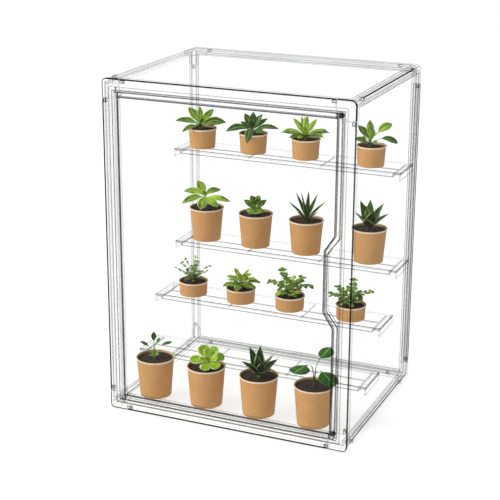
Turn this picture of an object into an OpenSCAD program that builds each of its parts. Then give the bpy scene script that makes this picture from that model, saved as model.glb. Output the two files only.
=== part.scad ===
// Mini greenhouse: a clear cabinet of edge bars, corner connectors and thin panels, with one
// hinged front door, four narrow shelves set as steps, and sixteen potted plants.
// Millimetres. X runs to the right, Y to the back, Z up. The origin is the centre of the base.

/* [Case] */
// Overall width
case_w = 450; // [430:1:520]
// Overall depth, from the closed door's face to the back
case_d = 350; // [335:1:420]
// Overall height
case_h = 600; // [560:1:760]
// Side of a square edge bar
bar = 14; // [13:0.5:16]
// Radius along the outer edges
edge_r = 4; // [2:0.5:5]
// Radius of the corners as seen from the front
corner_r = 10; // [6:0.5:12]
// Width of the front frame round the door
front_bar_w = 20; // [18:0.5:24]
// Depth of the shallow step on the front frame's inner part
front_step = 1; // [0.5:0.25:1.5]
// Width of the stop lip behind the door's edge
lip_w = 5; // [4:0.5:7]
// Radius of the stop lip's inner corners
lip_corner_r = 20; // [20:1:26]
// Length of a corner connector's legs, from the corner
corner_leg = 34; // [34:1:50]
// Side of a connector's square spigot
spigot = 5; // [3:0.5:5]
// Distance from a bar's outer faces to the middle of its spigot
spigot_in = 5; // [4.5:0.25:5.5]
// Length of a spigot beyond its leg
spigot_l = 8; // [5:1:14]

/* [Panels] */
// Thickness of the case's panels
panel_t = 2.5; // [2:0.25:3]
// Distance from the outside to a panel's outer face
panel_inset = 1.5; // [1:0.25:2]
// Height of the floor panel's top face
floor_z = 11; // [8:0.5:12]
// Depth of the grooves that hold the panels
groove_d = 5; // [4:0.5:5.5]

/* [Door] */
// How far the closed door stands proud of the front frame
door_proud = 1; // [0.5:0.25:1.5]
// Thickness of the door's bars
door_t = 9; // [8:0.5:10]
// Width of the door's bars
door_bar_w = 10; // [9:0.5:12]
// Gap between the door and the front frame
door_gap = 1.5; // [1:0.25:2]
// Gap between the door's back and the stop lip
stop_gap = 0.5; // [0.4:0.1:1]
// Radius of the door's two free corners
door_corner_r = 4; // [2:0.5:5]
// Thickness of the door panel
door_panel_t = 2.5; // [2:0.25:2.5]
// Distance from the door's face to the door panel
door_panel_inset = 2; // [1.5:0.25:2.25]
// Depth of the grooves that hold the door panel
door_groove_d = 3.5; // [2.5:0.5:4]
// Depth of the finger recess
recess_d = 20; // [16:1:26]
// Height of the finger recess's straight part
recess_h = 98; // [80:1:130]
// Height of the middle of the finger recess
recess_z = 298; // [260:1:340]
// Height of each sloping end of the finger recess
recess_slope = 26; // [20:1:36]
// Width of the handle stile beside the finger recess
recess_bar_w = 7; // [6:0.5:9]
// Corner radius along the finger recess
recess_r = 10; // [6:1:14]

/* [Hinge and magnets] */
// Diameter of a hinge pin
pin_d = 2.5; // [2:0.25:3]
// Length of a hinge pin inside the door
pin_in_door = 10; // [6:1:16]
// Length of a hinge pin inside the frame
pin_in_frame = 5; // [4:0.5:8]
// Diameter of a magnet
magnet_d = 8; // [6:0.5:8]
// Thickness of a magnet
magnet_t = 2.5; // [1.5:0.25:2.5]
// Distance from the door's edges to the middle of a magnet
magnet_in = 6; // [5.5:0.25:7]

/* [Shelves] */
// Depth of a shelf
shelf_d = 75; // [70:1:80]
// Thickness of a shelf
shelf_t = 3; // [2:0.25:4]
// Height of the top of shelf 1
shelf_1_z = 422; // [390:1:440]
// Height of the top of shelf 2
shelf_2_z = 241; // [235:1:260]
// Height of the top of shelf 3
shelf_3_z = 161; // [155:1:175]
// Height of the top of shelf 4
shelf_4_z = 76; // [60:1:84]
// Distance from the door's face to shelf 3's front edge
shelf_3_y = 175; // [165:1:185]
// Distance from the door's face to shelf 4's front edge
shelf_4_y = 107; // [107:1:115]
// Height of a shelf's turned-down front lip, from its top
shelf_lip_h = 9; // [6:0.5:12]
// Thickness of a shelf's front lip
shelf_lip_t = 2.5; // [2:0.25:4]
// Depth of the ribs under a shelf
rib_h = 2; // [1.5:0.25:3]
// Thickness of the ribs under a shelf
rib_t = 2; // [1.5:0.25:3]
// Distance from the middle of a shelf to its inner ribs
rib_x = 71; // [50:1:100]
// Width of a ledge under a shelf's end
ledge_w = 12; // [9:0.5:16]
// Thickness of a ledge
ledge_t = 2.5; // [2:0.25:3.5]
// Height of a ledge's upright leg
ledge_h = 12; // [8:1:16]

/* [Pots] */
// Thickness of a cup's wall
cup_wall = 1; // [0.7:0.1:1.3]
// Radius of the rolled rim's section
rim_r = 1.3; // [1:0.1:1.6]
// Height of the hollow under a cup's base
base_recess = 3; // [2:0.25:3.5]
// Depth of the soil below the rim
soil_drop = 3.8; // [3:0.1:3.9]
// Height of the cups on shelf 1
pot_1_h = 37; // [32:1:42]
// Rim radius of the cups on shelf 1
pot_1_r = 27.2; // [25:0.2:29]
// Base radius of the cups on shelf 1
pot_1_base_r = 23.8; // [20:0.2:24]
// Height of the cups on shelf 2
pot_2_h = 63; // [56:1:68]
// Rim radius of the cups on shelf 2
pot_2_r = 33.2; // [30:0.2:34]
// Base radius of the cups on shelf 2
pot_2_base_r = 26.6; // [23:0.2:28]
// Height of the cups on shelf 3
pot_3_h = 26; // [22:1:30]
// Rim radius of the cups on shelf 3
pot_3_r = 28; // [26:0.2:29]
// Base radius of the cups on shelf 3
pot_3_base_r = 25.6; // [22:0.2:26]
// Height of the cups on the floor
pot_4_h = 72; // [64:1:76]
// Rim radius of the cups on the floor
pot_4_r = 35.2; // [32:0.2:36]
// Base radius of the cups on the floor
pot_4_base_r = 28.4; // [25:0.2:30]
// Distance from the case's left side to the first cup's middle, on shelf 1
pot_1_first = 47; // [44:1:52]
// The same on shelf 2
pot_2_first = 53; // [46:1:58]
// The same on shelf 3
pot_3_first = 68; // [62:1:72]
// The same on the floor
pot_4_first = 57; // [48:1:60]
// Distance from the case's right side to the last cup's middle, on shelves 1 to 3
pot_last = 70; // [64:1:76]
// The same on the floor
pot_4_last = 86; // [70:1:90]
// Spacing of a shelf's first three cups, as a share of the way from the first cup to the last
pot_pitch = 0.312; // [0.3:0.002:0.334]
// The same on the floor
pot_4_pitch = 0.332; // [0.32:0.002:0.336]
// How far the cups on shelf 1 stand before the shelf's middle
pot_1_ahead = 4; // [0:0.5:6]
// The same on shelf 3
pot_3_ahead = 6; // [0:0.5:8]
// Distance from the door's face to the middle of the floor row of cups
pot_4_y = 69; // [66:1:69]

/* [Hidden] */
$fn = 48;

// Clearances and small margins
panel_clear = 0.1;
groove_clear = 0.2;
socket_clear = 0.1;
pin_clear = 0.05;
press_clear = 0.02;
magnet_clear = 0.05;
soil_clear = 0.15;
shelf_end_clear = 0.5;
shelf_back_clear = 0.5;
lip_ledge_clear = 1;
past = 1;

// The case's planes
half_w = case_w / 2;
door_y = -case_d / 2;
back_y = case_d / 2;
frame_y = door_y + door_proud;
frame_back_y = frame_y + bar;
back_bar_y = back_y - bar;
side_in_x = half_w - panel_inset - panel_t;
back_in_y = back_y - panel_inset - panel_t;
top_in_z = case_h - panel_inset - panel_t;
groove_x = half_w - bar + groove_d;
groove_y0 = frame_back_y - groove_d;
groove_y1 = back_bar_y + groove_d;
groove_z0 = bar - groove_d;
groove_z1 = case_h - bar + groove_d;

// The door's planes
open_x = half_w - front_bar_w;
open_z0 = front_bar_w;
open_z1 = case_h - front_bar_w;
door_x = open_x - door_gap;
door_z0 = open_z0 + door_gap;
door_z1 = open_z1 - door_gap;
door_back_y = door_y + door_t;
stop_y = door_back_y + stop_gap;
pin_x = -door_x + door_t / 2;
pin_y = door_y + door_t / 2;
stile_x = door_x - door_bar_w;
rail_z0 = door_z0 + door_bar_w;
rail_z1 = door_z1 - door_bar_w;
magnet_x = door_x - magnet_in;
magnet_zs = [door_z0 + magnet_in, door_z1 - magnet_in];
panel_y = door_y + door_panel_inset;

// Shelves: [top height, front edge]
shelf_half_w = side_in_x - shelf_end_clear;
lip_half_w = side_in_x - ledge_w - lip_ledge_clear;
back_shelf_y = back_bar_y - shelf_back_clear - shelf_d;
shelves = [
    [shelf_1_z, back_shelf_y],
    [shelf_2_z, back_shelf_y],
    [shelf_3_z, door_y + shelf_3_y],
    [shelf_4_z, door_y + shelf_4_y]
];

// Rows of cups: [standing height, middle Y, cup height, rim radius, base radius, the four X]
function row_x(first, pitch, last) =
    let (reach = case_w - first - last)
    [for (share = [0, pitch, 2 * pitch, 1]) first - half_w + share * reach];
shelf_mid = shelf_d / 2;
rows = [
    [shelf_1_z, back_shelf_y + shelf_mid - pot_1_ahead, pot_1_h, pot_1_r, pot_1_base_r,
        row_x(pot_1_first, pot_pitch, pot_last)],
    [shelf_2_z, back_shelf_y + shelf_mid, pot_2_h, pot_2_r, pot_2_base_r,
        row_x(pot_2_first, pot_pitch, pot_last)],
    [shelf_3_z, door_y + shelf_3_y + shelf_mid - pot_3_ahead, pot_3_h, pot_3_r, pot_3_base_r,
        row_x(pot_3_first, pot_pitch, pot_last)],
    [floor_z, door_y + pot_4_y, pot_4_h, pot_4_r, pot_4_base_r,
        row_x(pot_4_first, pot_4_pitch, pot_4_last)]
];

clear_tint = [0.86, 0.92, 0.93, 0.35];
shelf_tint = [0.88, 0.93, 0.94, 0.4];
magnet_tint = [0.06, 0.06, 0.07];
pin_tint = [0.6, 0.61, 0.62];
kraft = [0.76, 0.57, 0.36];
soil_tint = [0.14, 0.09, 0.06];
dark_leaf = [0.09, 0.27, 0.13];
mid_leaf = [0.2, 0.42, 0.12];
light_leaf = [0.42, 0.6, 0.16];

// Basic shapes

// A box between two opposite corners
module slab(low, high) {
    translate(low) cube(high - low);
}

// A rectangle with round corners, drawn from exact arcs
module round_rect(low, high, r) {
    translate([low[0] + r, low[1]]) square([high[0] - low[0] - 2 * r, high[1] - low[1]]);
    translate([low[0], low[1] + r]) square([high[0] - low[0], high[1] - low[1] - 2 * r]);
    for (x = [low[0] + r, high[0] - r])
        for (y = [low[1] + r, high[1] - r])
            translate([x, y]) circle(r);
}

// A shape drawn in X and Z, made thick along Y from y0 to y1
module upright(y0, y1) {
    translate([0, y1, 0]) rotate([90, 0, 0]) linear_extrude(y1 - y0) children();
}

// Case frame

// The case's outer form, with its rounded edges and corners
module envelope() {
    intersection() {
        upright(frame_y - past, back_y + past)
            round_rect([-half_w, 0], [half_w, case_h], corner_r);
        translate([0, 0, -past])
            linear_extrude(case_h + 2 * past)
                round_rect([-half_w, frame_y], [half_w, back_y], edge_r);
        translate([-half_w - past, 0, 0])
            rotate([90, 0, 90])
                linear_extrude(case_w + 2 * past)
                    round_rect([frame_y, 0], [back_y, case_h], edge_r);
    }
}

// The inside of the case and the openings between the bars
module windows() {
    in_x = half_w - bar;
    far = case_w + case_d + case_h;
    slab([-far, frame_back_y, bar], [far, back_bar_y, case_h - bar]);
    slab([-in_x, frame_back_y, -far], [in_x, back_bar_y, far]);
    slab([-in_x, frame_back_y, bar], [in_x, far, case_h - bar]);
    slab([-in_x, frame_y - past, bar], [in_x, frame_y + front_step, case_h - bar]);
    slab([-open_x, frame_y, open_z0], [open_x, stop_y, open_z1]);
    upright(stop_y - past, frame_back_y + past)
        round_rect([lip_w - open_x, open_z0 + lip_w], [open_x - lip_w, open_z1 - lip_w],
            lip_corner_r);
}

// The grooves that the five fixed panels stand in
module panel_grooves() {
    c = panel_clear;
    for (s = [-1, 1])
        slab([s * (side_in_x + panel_t / 2) - panel_t / 2 - c, groove_y0, groove_z0],
            [s * (side_in_x + panel_t / 2) + panel_t / 2 + c, groove_y1, groove_z1]);
    slab([-groove_x, back_in_y - c, groove_z0], [groove_x, back_in_y + panel_t + c, groove_z1]);
    slab([-groove_x, groove_y0, top_in_z - c], [groove_x, groove_y1, top_in_z + panel_t + c]);
    slab([-groove_x, groove_y0, floor_z - panel_t - c], [groove_x, groove_y1, floor_z + c]);
}

// Part of the frame inside a box
module frame_part(low, high) {
    difference() {
        intersection() {
            envelope();
            slab(low, high);
        }
        windows();
        panel_grooves();
    }
}

// The middle of a bar's section at each corner of the case
spigot_x = half_w - spigot_in;
spigot_y0 = frame_y + spigot_in;
spigot_y1 = back_y - spigot_in;
spigot_z1 = case_h - spigot_in;

// A square bar centred on a point, reaching from there along one axis
module square_bar(centre, along, side, reach) {
    size = [for (i = [0 : 2]) along[i] == 0 ? side : reach];
    shift = [for (i = [0 : 2]) along[i] == 0 ? -side / 2 : min(0, along[i] * reach)];
    translate(centre + shift) cube(size);
}

// The sockets in both ends of a bar that runs along an axis between two legs
module bar_sockets(centre, axis, low, high) {
    side = spigot + 2 * socket_clear;
    reach = spigot_l + socket_clear + past;
    start = [for (i = [0 : 2]) axis[i] == 0 ? centre[i] : low - past];
    end = [for (i = [0 : 2]) axis[i] == 0 ? centre[i] : high + past];
    square_bar(start, axis, side, reach);
    square_bar(end, -axis, side, reach);
}

module post(side, front) {
    low_x = side < 0 ? -half_w - past : half_w - corner_leg;
    high_x = side < 0 ? corner_leg - half_w : half_w + past;
    low_y = front ? frame_y - past : back_bar_y;
    high_y = front ? frame_back_y : back_y + past;
    difference() {
        frame_part([low_x, low_y, corner_leg], [high_x, high_y, case_h - corner_leg]);
        bar_sockets([side * spigot_x, front ? spigot_y0 : spigot_y1, 0], [0, 0, 1],
            corner_leg, case_h - corner_leg);
    }
}

module cross_rail(front, top) {
    low_z = top ? case_h - corner_leg : -past;
    high_z = top ? case_h + past : corner_leg;
    low_y = front ? frame_y - past : back_bar_y;
    high_y = front ? frame_back_y : back_y + past;
    difference() {
        frame_part([corner_leg - half_w, low_y, low_z], [half_w - corner_leg, high_y, high_z]);
        bar_sockets([0, front ? spigot_y0 : spigot_y1, top ? spigot_z1 : spigot_in], [1, 0, 0],
            corner_leg - half_w, half_w - corner_leg);
    }
}

module side_rail(side, top) {
    low_x = side < 0 ? -half_w - past : half_w - bar;
    high_x = side < 0 ? bar - half_w : half_w + past;
    low_z = top ? case_h - bar : -past;
    high_z = top ? case_h + past : bar;
    difference() {
        frame_part([low_x, frame_y + corner_leg, low_z], [high_x, back_y - corner_leg, high_z]);
        bar_sockets([side * spigot_x, 0, top ? spigot_z1 : spigot_in], [0, 1, 0],
            frame_y + corner_leg, back_y - corner_leg);
    }
}

// One corner connector: three legs that butt against the bars, and a spigot into each bar
module corner_connector(side, front, top) {
    leg_x = half_w - corner_leg;
    low_x = side < 0 ? -half_w - past : leg_x;
    high_x = side < 0 ? -leg_x : half_w + past;
    leg_y = front ? frame_y + corner_leg : back_y - corner_leg;
    low_y = front ? frame_y - past : leg_y;
    high_y = front ? leg_y : back_y + past;
    leg_z = top ? case_h - corner_leg : corner_leg;
    low_z = top ? leg_z : -past;
    high_z = top ? case_h + past : leg_z;
    x = side * spigot_x;
    y = front ? spigot_y0 : spigot_y1;
    z = top ? spigot_z1 : spigot_in;
    difference() {
        frame_part([low_x, low_y, low_z], [high_x, high_y, high_z]);
        if (front && side < 0)
            hinge_bores();
        if (front && side > 0)
            magnet_pockets(stop_y - past, stop_y + magnet_t + magnet_clear);
    }
    square_bar([side * leg_x, y, z], [-side, 0, 0], spigot, spigot_l);
    square_bar([x, leg_y, z], [0, front ? 1 : -1, 0], spigot, spigot_l);
    square_bar([x, y, leg_z], [0, 0, top ? -1 : 1], spigot, spigot_l);
}

module front_corner_connectors() {
    color(clear_tint)
        for (side = [-1, 1])
            for (top = [false, true])
                corner_connector(side, true, top);
}

module back_corner_connectors() {
    color(clear_tint)
        for (side = [-1, 1])
            for (top = [false, true])
                corner_connector(side, false, top);
}

module front_left_post() { color(clear_tint) post(-1, true); }
module front_right_post() { color(clear_tint) post(1, true); }
module back_left_post() { color(clear_tint) post(-1, false); }
module back_right_post() { color(clear_tint) post(1, false); }
module front_top_rail() { color(clear_tint) cross_rail(true, true); }
module front_bottom_rail() { color(clear_tint) cross_rail(true, false); }
module back_top_rail() { color(clear_tint) cross_rail(false, true); }
module back_bottom_rail() { color(clear_tint) cross_rail(false, false); }
module left_top_rail() { color(clear_tint) side_rail(-1, true); }
module left_bottom_rail() { color(clear_tint) side_rail(-1, false); }
module right_top_rail() { color(clear_tint) side_rail(1, true); }
module right_bottom_rail() { color(clear_tint) side_rail(1, false); }

// Case panels

edge_x = groove_x - groove_clear;
edge_y0 = groove_y0 + groove_clear;
edge_y1 = groove_y1 - groove_clear;
edge_z0 = groove_z0 + groove_clear;
edge_z1 = groove_z1 - groove_clear;

module floor_panel() {
    color(clear_tint)
        slab([-edge_x, edge_y0, floor_z - panel_t], [edge_x, edge_y1, floor_z]);
}

module top_panel() {
    color(clear_tint)
        slab([-edge_x, edge_y0, top_in_z], [edge_x, edge_y1, top_in_z + panel_t]);
}

module back_panel() {
    color(clear_tint)
        slab([-edge_x, back_in_y, edge_z0], [edge_x, back_in_y + panel_t, edge_z1]);
}

module right_panel() {
    color(clear_tint)
        slab([side_in_x, edge_y0, edge_z0], [side_in_x + panel_t, edge_y1, edge_z1]);
}

module left_panel() {
    mirror([1, 0, 0]) right_panel();
}

// Hinge and magnets

// Bores in the front frame for the ends of the hinge pins
module hinge_bores() {
    for (z = [open_z0 - pin_in_frame - past, open_z1])
        translate([pin_x, pin_y, z]) cylinder(h = pin_in_frame + past, r = pin_d / 2 + pin_clear);
}

// Round pockets for the magnets, between two depths
module magnet_pockets(y0, y1) {
    for (z = magnet_zs)
        translate([magnet_x, y1, z])
            rotate([90, 0, 0]) cylinder(h = y1 - y0, r = magnet_d / 2 + magnet_clear);
}

module magnets(y0) {
    color(magnet_tint)
        for (z = magnet_zs)
            translate([magnet_x, y0 + magnet_t, z])
                rotate([90, 0, 0]) cylinder(h = magnet_t, r = magnet_d / 2);
}

module frame_magnets() { magnets(stop_y); }
module door_magnets() { magnets(door_back_y - magnet_t); }

module door_hinge_pins() {
    length = pin_in_door + door_gap + pin_in_frame;
    color(pin_tint)
        for (z = [door_z0 + pin_in_door - length, door_z1 - pin_in_door])
            translate([pin_x, pin_y, z]) cylinder(h = length, r = pin_d / 2);
}

// Door

function unit(v) = v / norm(v);

// Points of a round corner of radius r at b, between the lines to a and c
function round_corner(a, b, c, r, steps = 6) =
    let (
        u = unit(a - b),
        v = unit(c - b),
        half = acos(u * v) / 2,
        centre = b + unit(u + v) * r / sin(half),
        start = b + u * r / tan(half) - centre,
        end = b + v * r / tan(half) - centre,
        a0 = atan2(start[1], start[0]),
        turn = atan2(start[0] * end[1] - start[1] * end[0], start * end)
    )
    [for (i = [0 : steps]) centre + r * [cos(a0 + turn * i / steps), sin(a0 + turn * i / steps)]];

// The handle side's line, from bottom to top: straight at x, and stepped in by depth beside the
// finger recess. The slopes start sooner on a line that lies further in.
function recess_line(x, depth, spread, z0, z1) =
    let (
        low = recess_z - recess_h / 2 - spread,
        high = recess_z + recess_h / 2 + spread,
        p = [
            [x, z0],
            [x, low - recess_slope],
            [x - depth, low],
            [x - depth, high],
            [x, high + recess_slope],
            [x, z1]
        ]
    )
    concat(
        [p[0]],
        [for (i = [1 : 4]) each round_corner(p[i - 1], p[i], p[i + 1], recess_r)],
        [p[5]]
    );

function reversed(list) = [for (i = [len(list) - 1 : -1 : 0]) list[i]];

recess_in = recess_d + recess_bar_w - door_bar_w;
recess_spread = 4;

// The door panel's outline, reaching a given depth into the bars round it
module door_panel_outline(reach) {
    left = -stile_x - reach;
    line = recess_line(stile_x + reach, recess_in, recess_spread, rail_z0 - reach,
        rail_z1 + reach);
    polygon(concat(line, [[left, rail_z1 + reach], [left, rail_z0 - reach]]));
}

module door_groove() {
    upright(panel_y - panel_clear, panel_y + door_panel_t + panel_clear)
        door_panel_outline(door_groove_d);
}

module door_hinge_stile() {
    color(clear_tint)
        difference() {
            union() {
                translate([pin_x, pin_y, door_z0]) cylinder(h = door_z1 - door_z0, r = door_t / 2);
                slab([pin_x, door_y, door_z0], [-stile_x, door_back_y, door_z1]);
            }
            door_groove();
            for (z = [door_z0 - past, door_z1 - pin_in_door])
                translate([pin_x, pin_y, z])
                    cylinder(h = pin_in_door + past, r = pin_d / 2 + press_clear);
        }
}

module door_handle_stile() {
    outer = recess_line(door_x, recess_d, 0, door_z0, door_z1);
    inner = recess_line(stile_x, recess_in, recess_spread, door_z0, door_z1);
    color(clear_tint)
        difference() {
            intersection() {
                upright(door_y, door_back_y) polygon(concat(outer, reversed(inner)));
                upright(door_y - past, door_back_y + past)
                    round_rect([-door_x, door_z0], [door_x, door_z1], door_corner_r);
            }
            door_groove();
            magnet_pockets(door_back_y - magnet_t - magnet_clear, door_back_y + past);
        }
}

module door_rail(z0, z1) {
    color(clear_tint)
        difference() {
            slab([-stile_x, door_y, z0], [stile_x, door_back_y, z1]);
            door_groove();
        }
}

module door_top_rail() { door_rail(rail_z1, door_z1); }
module door_bottom_rail() { door_rail(door_z0, rail_z0); }

module door_panel() {
    color(clear_tint)
        upright(panel_y, panel_y + door_panel_t)
            door_panel_outline(door_groove_d - groove_clear);
}

// Shelves

// A pair of ledges' right-hand half, for every shelf
module right_shelf_ledges() {
    color(clear_tint)
        for (s = shelves) {
            top = s[0] - shelf_t;
            slab([side_in_x - ledge_w, s[1], top - ledge_t], [side_in_x, s[1] + shelf_d, top]);
            slab([side_in_x - ledge_t, s[1], top - ledge_h], [side_in_x, s[1] + shelf_d, top]);
        }
}

module left_shelf_ledges() {
    mirror([1, 0, 0]) right_shelf_ledges();
}

module shelf(s) {
    under = s[0] - shelf_t;
    y0 = s[1];
    y1 = s[1] + shelf_d;
    color(shelf_tint) {
        slab([-shelf_half_w, y0, under], [shelf_half_w, y1, s[0]]);
        slab([-lip_half_w, y0, s[0] - shelf_lip_h], [lip_half_w, y0 + shelf_lip_t, s[0]]);
        slab([-lip_half_w, y0 + shelf_d / 2 - rib_t / 2, under - rib_h],
            [lip_half_w, y0 + shelf_d / 2 + rib_t / 2, s[0]]);
        for (x = [-lip_half_w + rib_t / 2, -rib_x, rib_x, lip_half_w - rib_t / 2])
            slab([x - rib_t / 2, y0, under - rib_h], [x + rib_t / 2, y1, s[0]]);
    }
}

module shelf_1() { shelf(shelves[0]); }
module shelf_2() { shelf(shelves[1]); }
module shelf_3() { shelf(shelves[2]); }
module shelf_4() { shelf(shelves[3]); }

// Cups and soil

cup_base_t = 1;

// Radius of a cup's inner wall at height z
function cup_in_r(row, z) = row[4] - cup_wall + (row[3] - rim_r - row[4]) * z / row[2];

module cup(row) {
    h = row[2];
    top_r = row[3] - rim_r;
    rotate_extrude() {
        polygon([
            [row[4], 0],
            [top_r, h - rim_r],
            [top_r - cup_wall, h - rim_r],
            [cup_in_r(row, base_recess + cup_base_t), base_recess + cup_base_t],
            [0, base_recess + cup_base_t],
            [0, base_recess],
            [cup_in_r(row, base_recess), base_recess],
            [cup_in_r(row, 0), 0]
        ]);
        translate([top_r, h - rim_r]) circle(rim_r);
    }
}

module soil(row) {
    low = base_recess + cup_base_t;
    high = row[2] - soil_drop;
    rotate_extrude()
        polygon([
            [0, low],
            [cup_in_r(row, low) - soil_clear, low],
            [cup_in_r(row, high) - soil_clear, high],
            [0, high]
        ]);
}

// Puts a copy of the children at each of a row's four places
module along_row(row) {
    for (x = row[5]) translate([x, row[1], row[0]]) children();
}

module shelf_1_cups() { color(kraft) along_row(rows[0]) cup(rows[0]); }
module shelf_2_cups() { color(kraft) along_row(rows[1]) cup(rows[1]); }
module shelf_3_cups() { color(kraft) along_row(rows[2]) cup(rows[2]); }
module floor_cups() { color(kraft) along_row(rows[3]) cup(rows[3]); }
module shelf_1_soil() { color(soil_tint) along_row(rows[0]) soil(rows[0]); }
module shelf_2_soil() { color(soil_tint) along_row(rows[1]) soil(rows[1]); }
module shelf_3_soil() { color(soil_tint) along_row(rows[2]) soil(rows[2]); }
module floor_soil() { color(soil_tint) along_row(rows[3]) soil(rows[3]); }

// Plants: each is one closed skin. A short crown of flat cells stands on the soil, and every leaf
// or stalk grows out of a cell of its own. Column 0 faces the plant's right and columns count
// round anticlockwise, so a twelve-column crown has its front between columns 8 and 9.

// Outlines of leaves, from base to tip: [share of the length, share of the width, share of the bend]
oval_leaf = [[0.12, 0.34, 0], [0.38, 0.8, 0.3], [0.66, 1, 0.6], [0.88, 0.68, 0.85], [1, 0, 1]];
round_leaf = [[0.12, 0.34, 0], [0.38, 0.72, 0.3], [0.66, 1, 0.6], [0.92, 0.72, 0.9], [1, 0, 1]];
spike_leaf = [[0.1, 0.6, 0], [0.34, 1, 0.3], [0.72, 0.6, 0.7], [1, 0, 1]];
stalked_leaf = [
    [0.06, 0.14, 0], [0.42, 0.1, 0.25], [0.56, 0.75, 0.5], [0.76, 1, 0.75], [0.93, 0.55, 0.95],
    [1, 0, 1]
];
stalk = [
    [0.08, 1, 0], [0.3, 1, 0.2], [0.36, 1, 0.3], [0.54, 1, 0.45], [0.6, 1, 0.55], [0.76, 1, 0.7],
    [0.82, 1, 0.8], [0.91, 3.4, 0.9], [1, 0, 1]
];
// The stalk's steps that carry a pair of small leaves, and the small leaf's outline
stalk_pairs = [1, 3, 5];
small_leaf = [[0.3, 0.75], [0.68, 1], [1, 0]];

// A round leaf that hangs at an angle from a thin stalk, which takes a given share of the length
function coin_leaf(share) =
    let (left = 1 - share)
    [
        [0.05, 0.08, 0], [share - 0.01, 0.06, 0.1], [share + 0.1 * left, 0.5, 1],
        [share + 0.32 * left, 0.92, 1], [share + 0.6 * left, 1, 1],
        [share + 0.87 * left, 0.65, 1], [1, 0, 1]
    ];

leaf_thick = 1.6;
leaf_trough = 0.15;
stalk_w = 1.8;
cell_h = 2.4;
facing = 23.4;
// The rim radius that each row's plants are drawn for
drawn_rim_r = [27.2, 33.2, 28, 35.2];

function turned(p, a) = [p[0] * cos(a) - p[1] * sin(a), p[0] * sin(a) + p[1] * cos(a), p[2]];

// Where a leaf's middle line stands after step n, in the plane of X and Z
function spine(shape, length, up, down, n) =
    n < 0 ? [0, 0, 0] :
    let (
        a = up + (down - up) * shape[n][2],
        step = length * (shape[n][0] - (n > 0 ? shape[n - 1][0] : 0))
    )
    spine(shape, length, up, down, n - 1) + step * [cos(a), 0, sin(a)];

// Direction over the horizontal at the end of step n
function spine_angle(shape, up, down, n) =
    up + (down - up) * (shape[n][2] + shape[n + 1][2]) / 2;

// A leaf along X: four points round each section, then the tip
function leaf_points(shape, length, width, up, down) = [
    for (n = [0 : len(shape) - 2])
        let (
            c = spine(shape, length, up, down, n),
            a = spine_angle(shape, up, down, n),
            over = [-sin(a), 0, cos(a)],
            w = width * shape[n][1] / 2,
            edge = c + leaf_trough * w * over,
            t = leaf_thick * (1 - shape[n][0] / 2) / 2
        )
        each [edge + [0, w, 0], c + t * over, edge - [0, w, 0], c - t * over],
    spine(shape, length, up, down, len(shape) - 1)
];

// A small leaf on one side of a stalk's step
function small_leaf_points(length, up, down, step, side, leaf_l, leaf_w) =
    let (
        body = leaf_points(stalk, length, stalk_w, up, down),
        a = spine_angle(stalk, up, down, step),
        along = [cos(a), 0, sin(a)],
        out = unit([0.2, side == 0 ? 0.85 : -0.85, 0.25] + 0.4 * along),
        wide = unit(along - (along * out) * out),
        flat = cross(wide, out),
        low = 4 * step + side,
        middle = (body[low] + body[low + 1] + body[low + 4] + body[low + 5]) / 4,
        size = 0.45 + 0.55 * stalk[step][0] / stalk[stalk_pairs[2]][0]
    )
    [
        for (n = [0 : len(small_leaf) - 2])
            let (
                c = middle + small_leaf[n][0] * leaf_l * size * out,
                w = leaf_w * size * small_leaf[n][1] / 2
            )
            each [c - w * wide, c + 0.5 * flat, c + w * wide, c - 0.5 * flat],
        middle + leaf_l * size * out
    ];

// A bending stalk along X, followed by its pairs of small leaves
function stalk_points(length, up, down, leaf_l, leaf_w) = concat(
    leaf_points(stalk, length, stalk_w, up, down),
    [for (step = stalk_pairs)
        for (side = [0, 1])
            each small_leaf_points(length, up, down, step, side, leaf_l, leaf_w)]
);

// Faces between two rings of four points, without the sides named in open
function ring_skin(a, b, open = []) = [
    for (k = [0 : 3])
        if (len(search(k, open)) == 0)
            let (m = (k + 1) % 4)
            each [[b[k], b[m], a[m]], [b[k], a[m], a[k]]]
];

// Faces of a leaf whose points start at a given number, on a ring of four points. The steps named
// in open_steps leave the two upper sides open.
function leaf_faces(base, start, sections, open_steps = []) =
    let (
        rings = [
            base,
            for (n = [0 : sections - 1]) [for (k = [0 : 3]) start + 4 * n + k]
        ],
        tip = start + 4 * sections
    )
    [
        for (n = [0 : sections - 1])
            each ring_skin(rings[n], rings[n + 1],
                len(search(n - 1, open_steps)) == 0 ? [] : [0, 1]),
        for (k = [0 : 3]) [tip, rings[sections][(k + 1) % 4], rings[sections][k]]
    ];

// Numbers of points in a leaf, in a small leaf, and in a stalk with all that it carries
function leaf_size(shape) = 4 * len(shape) - 3;
small_size = leaf_size(small_leaf);
stalk_size = leaf_size(stalk) + 2 * len(stalk_pairs) * small_size;

function stalk_faces(base, start) = concat(
    leaf_faces(base, start, len(stalk) - 1, stalk_pairs),
    [for (n = [0 : len(stalk_pairs) - 1])
        for (side = [0, 1])
            let (
                low = start + 4 * stalk_pairs[n] + side,
                small = start + leaf_size(stalk) + (2 * n + side) * small_size
            )
            each leaf_faces([low, low + 1, low + 5, low + 4], small, len(small_leaf) - 1)]
);

// A crown's rings, [height, radius]: a stem, then one step for each level of leaves
function crown(stem_h, r, levels) = [
    [0, r * 0.75],
    for (n = [0 : levels]) [stem_h + cell_h * n, r * (1 - 0.1 * n)]
];

function crown_points(rings, columns) = [
    for (ring = rings)
        for (i = [0 : columns - 1])
            [ring[1] * cos(360 * i / columns), ring[1] * sin(360 * i / columns), ring[0]]
];

// The four corners of one cell, starting at its lower corner on the side of rising angle
function cell_ring(columns, column, level) =
    let (next = (column + 1) % columns)
    [
        level * columns + next,
        (level + 1) * columns + next,
        (level + 1) * columns + column,
        level * columns + column
    ];

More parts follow.
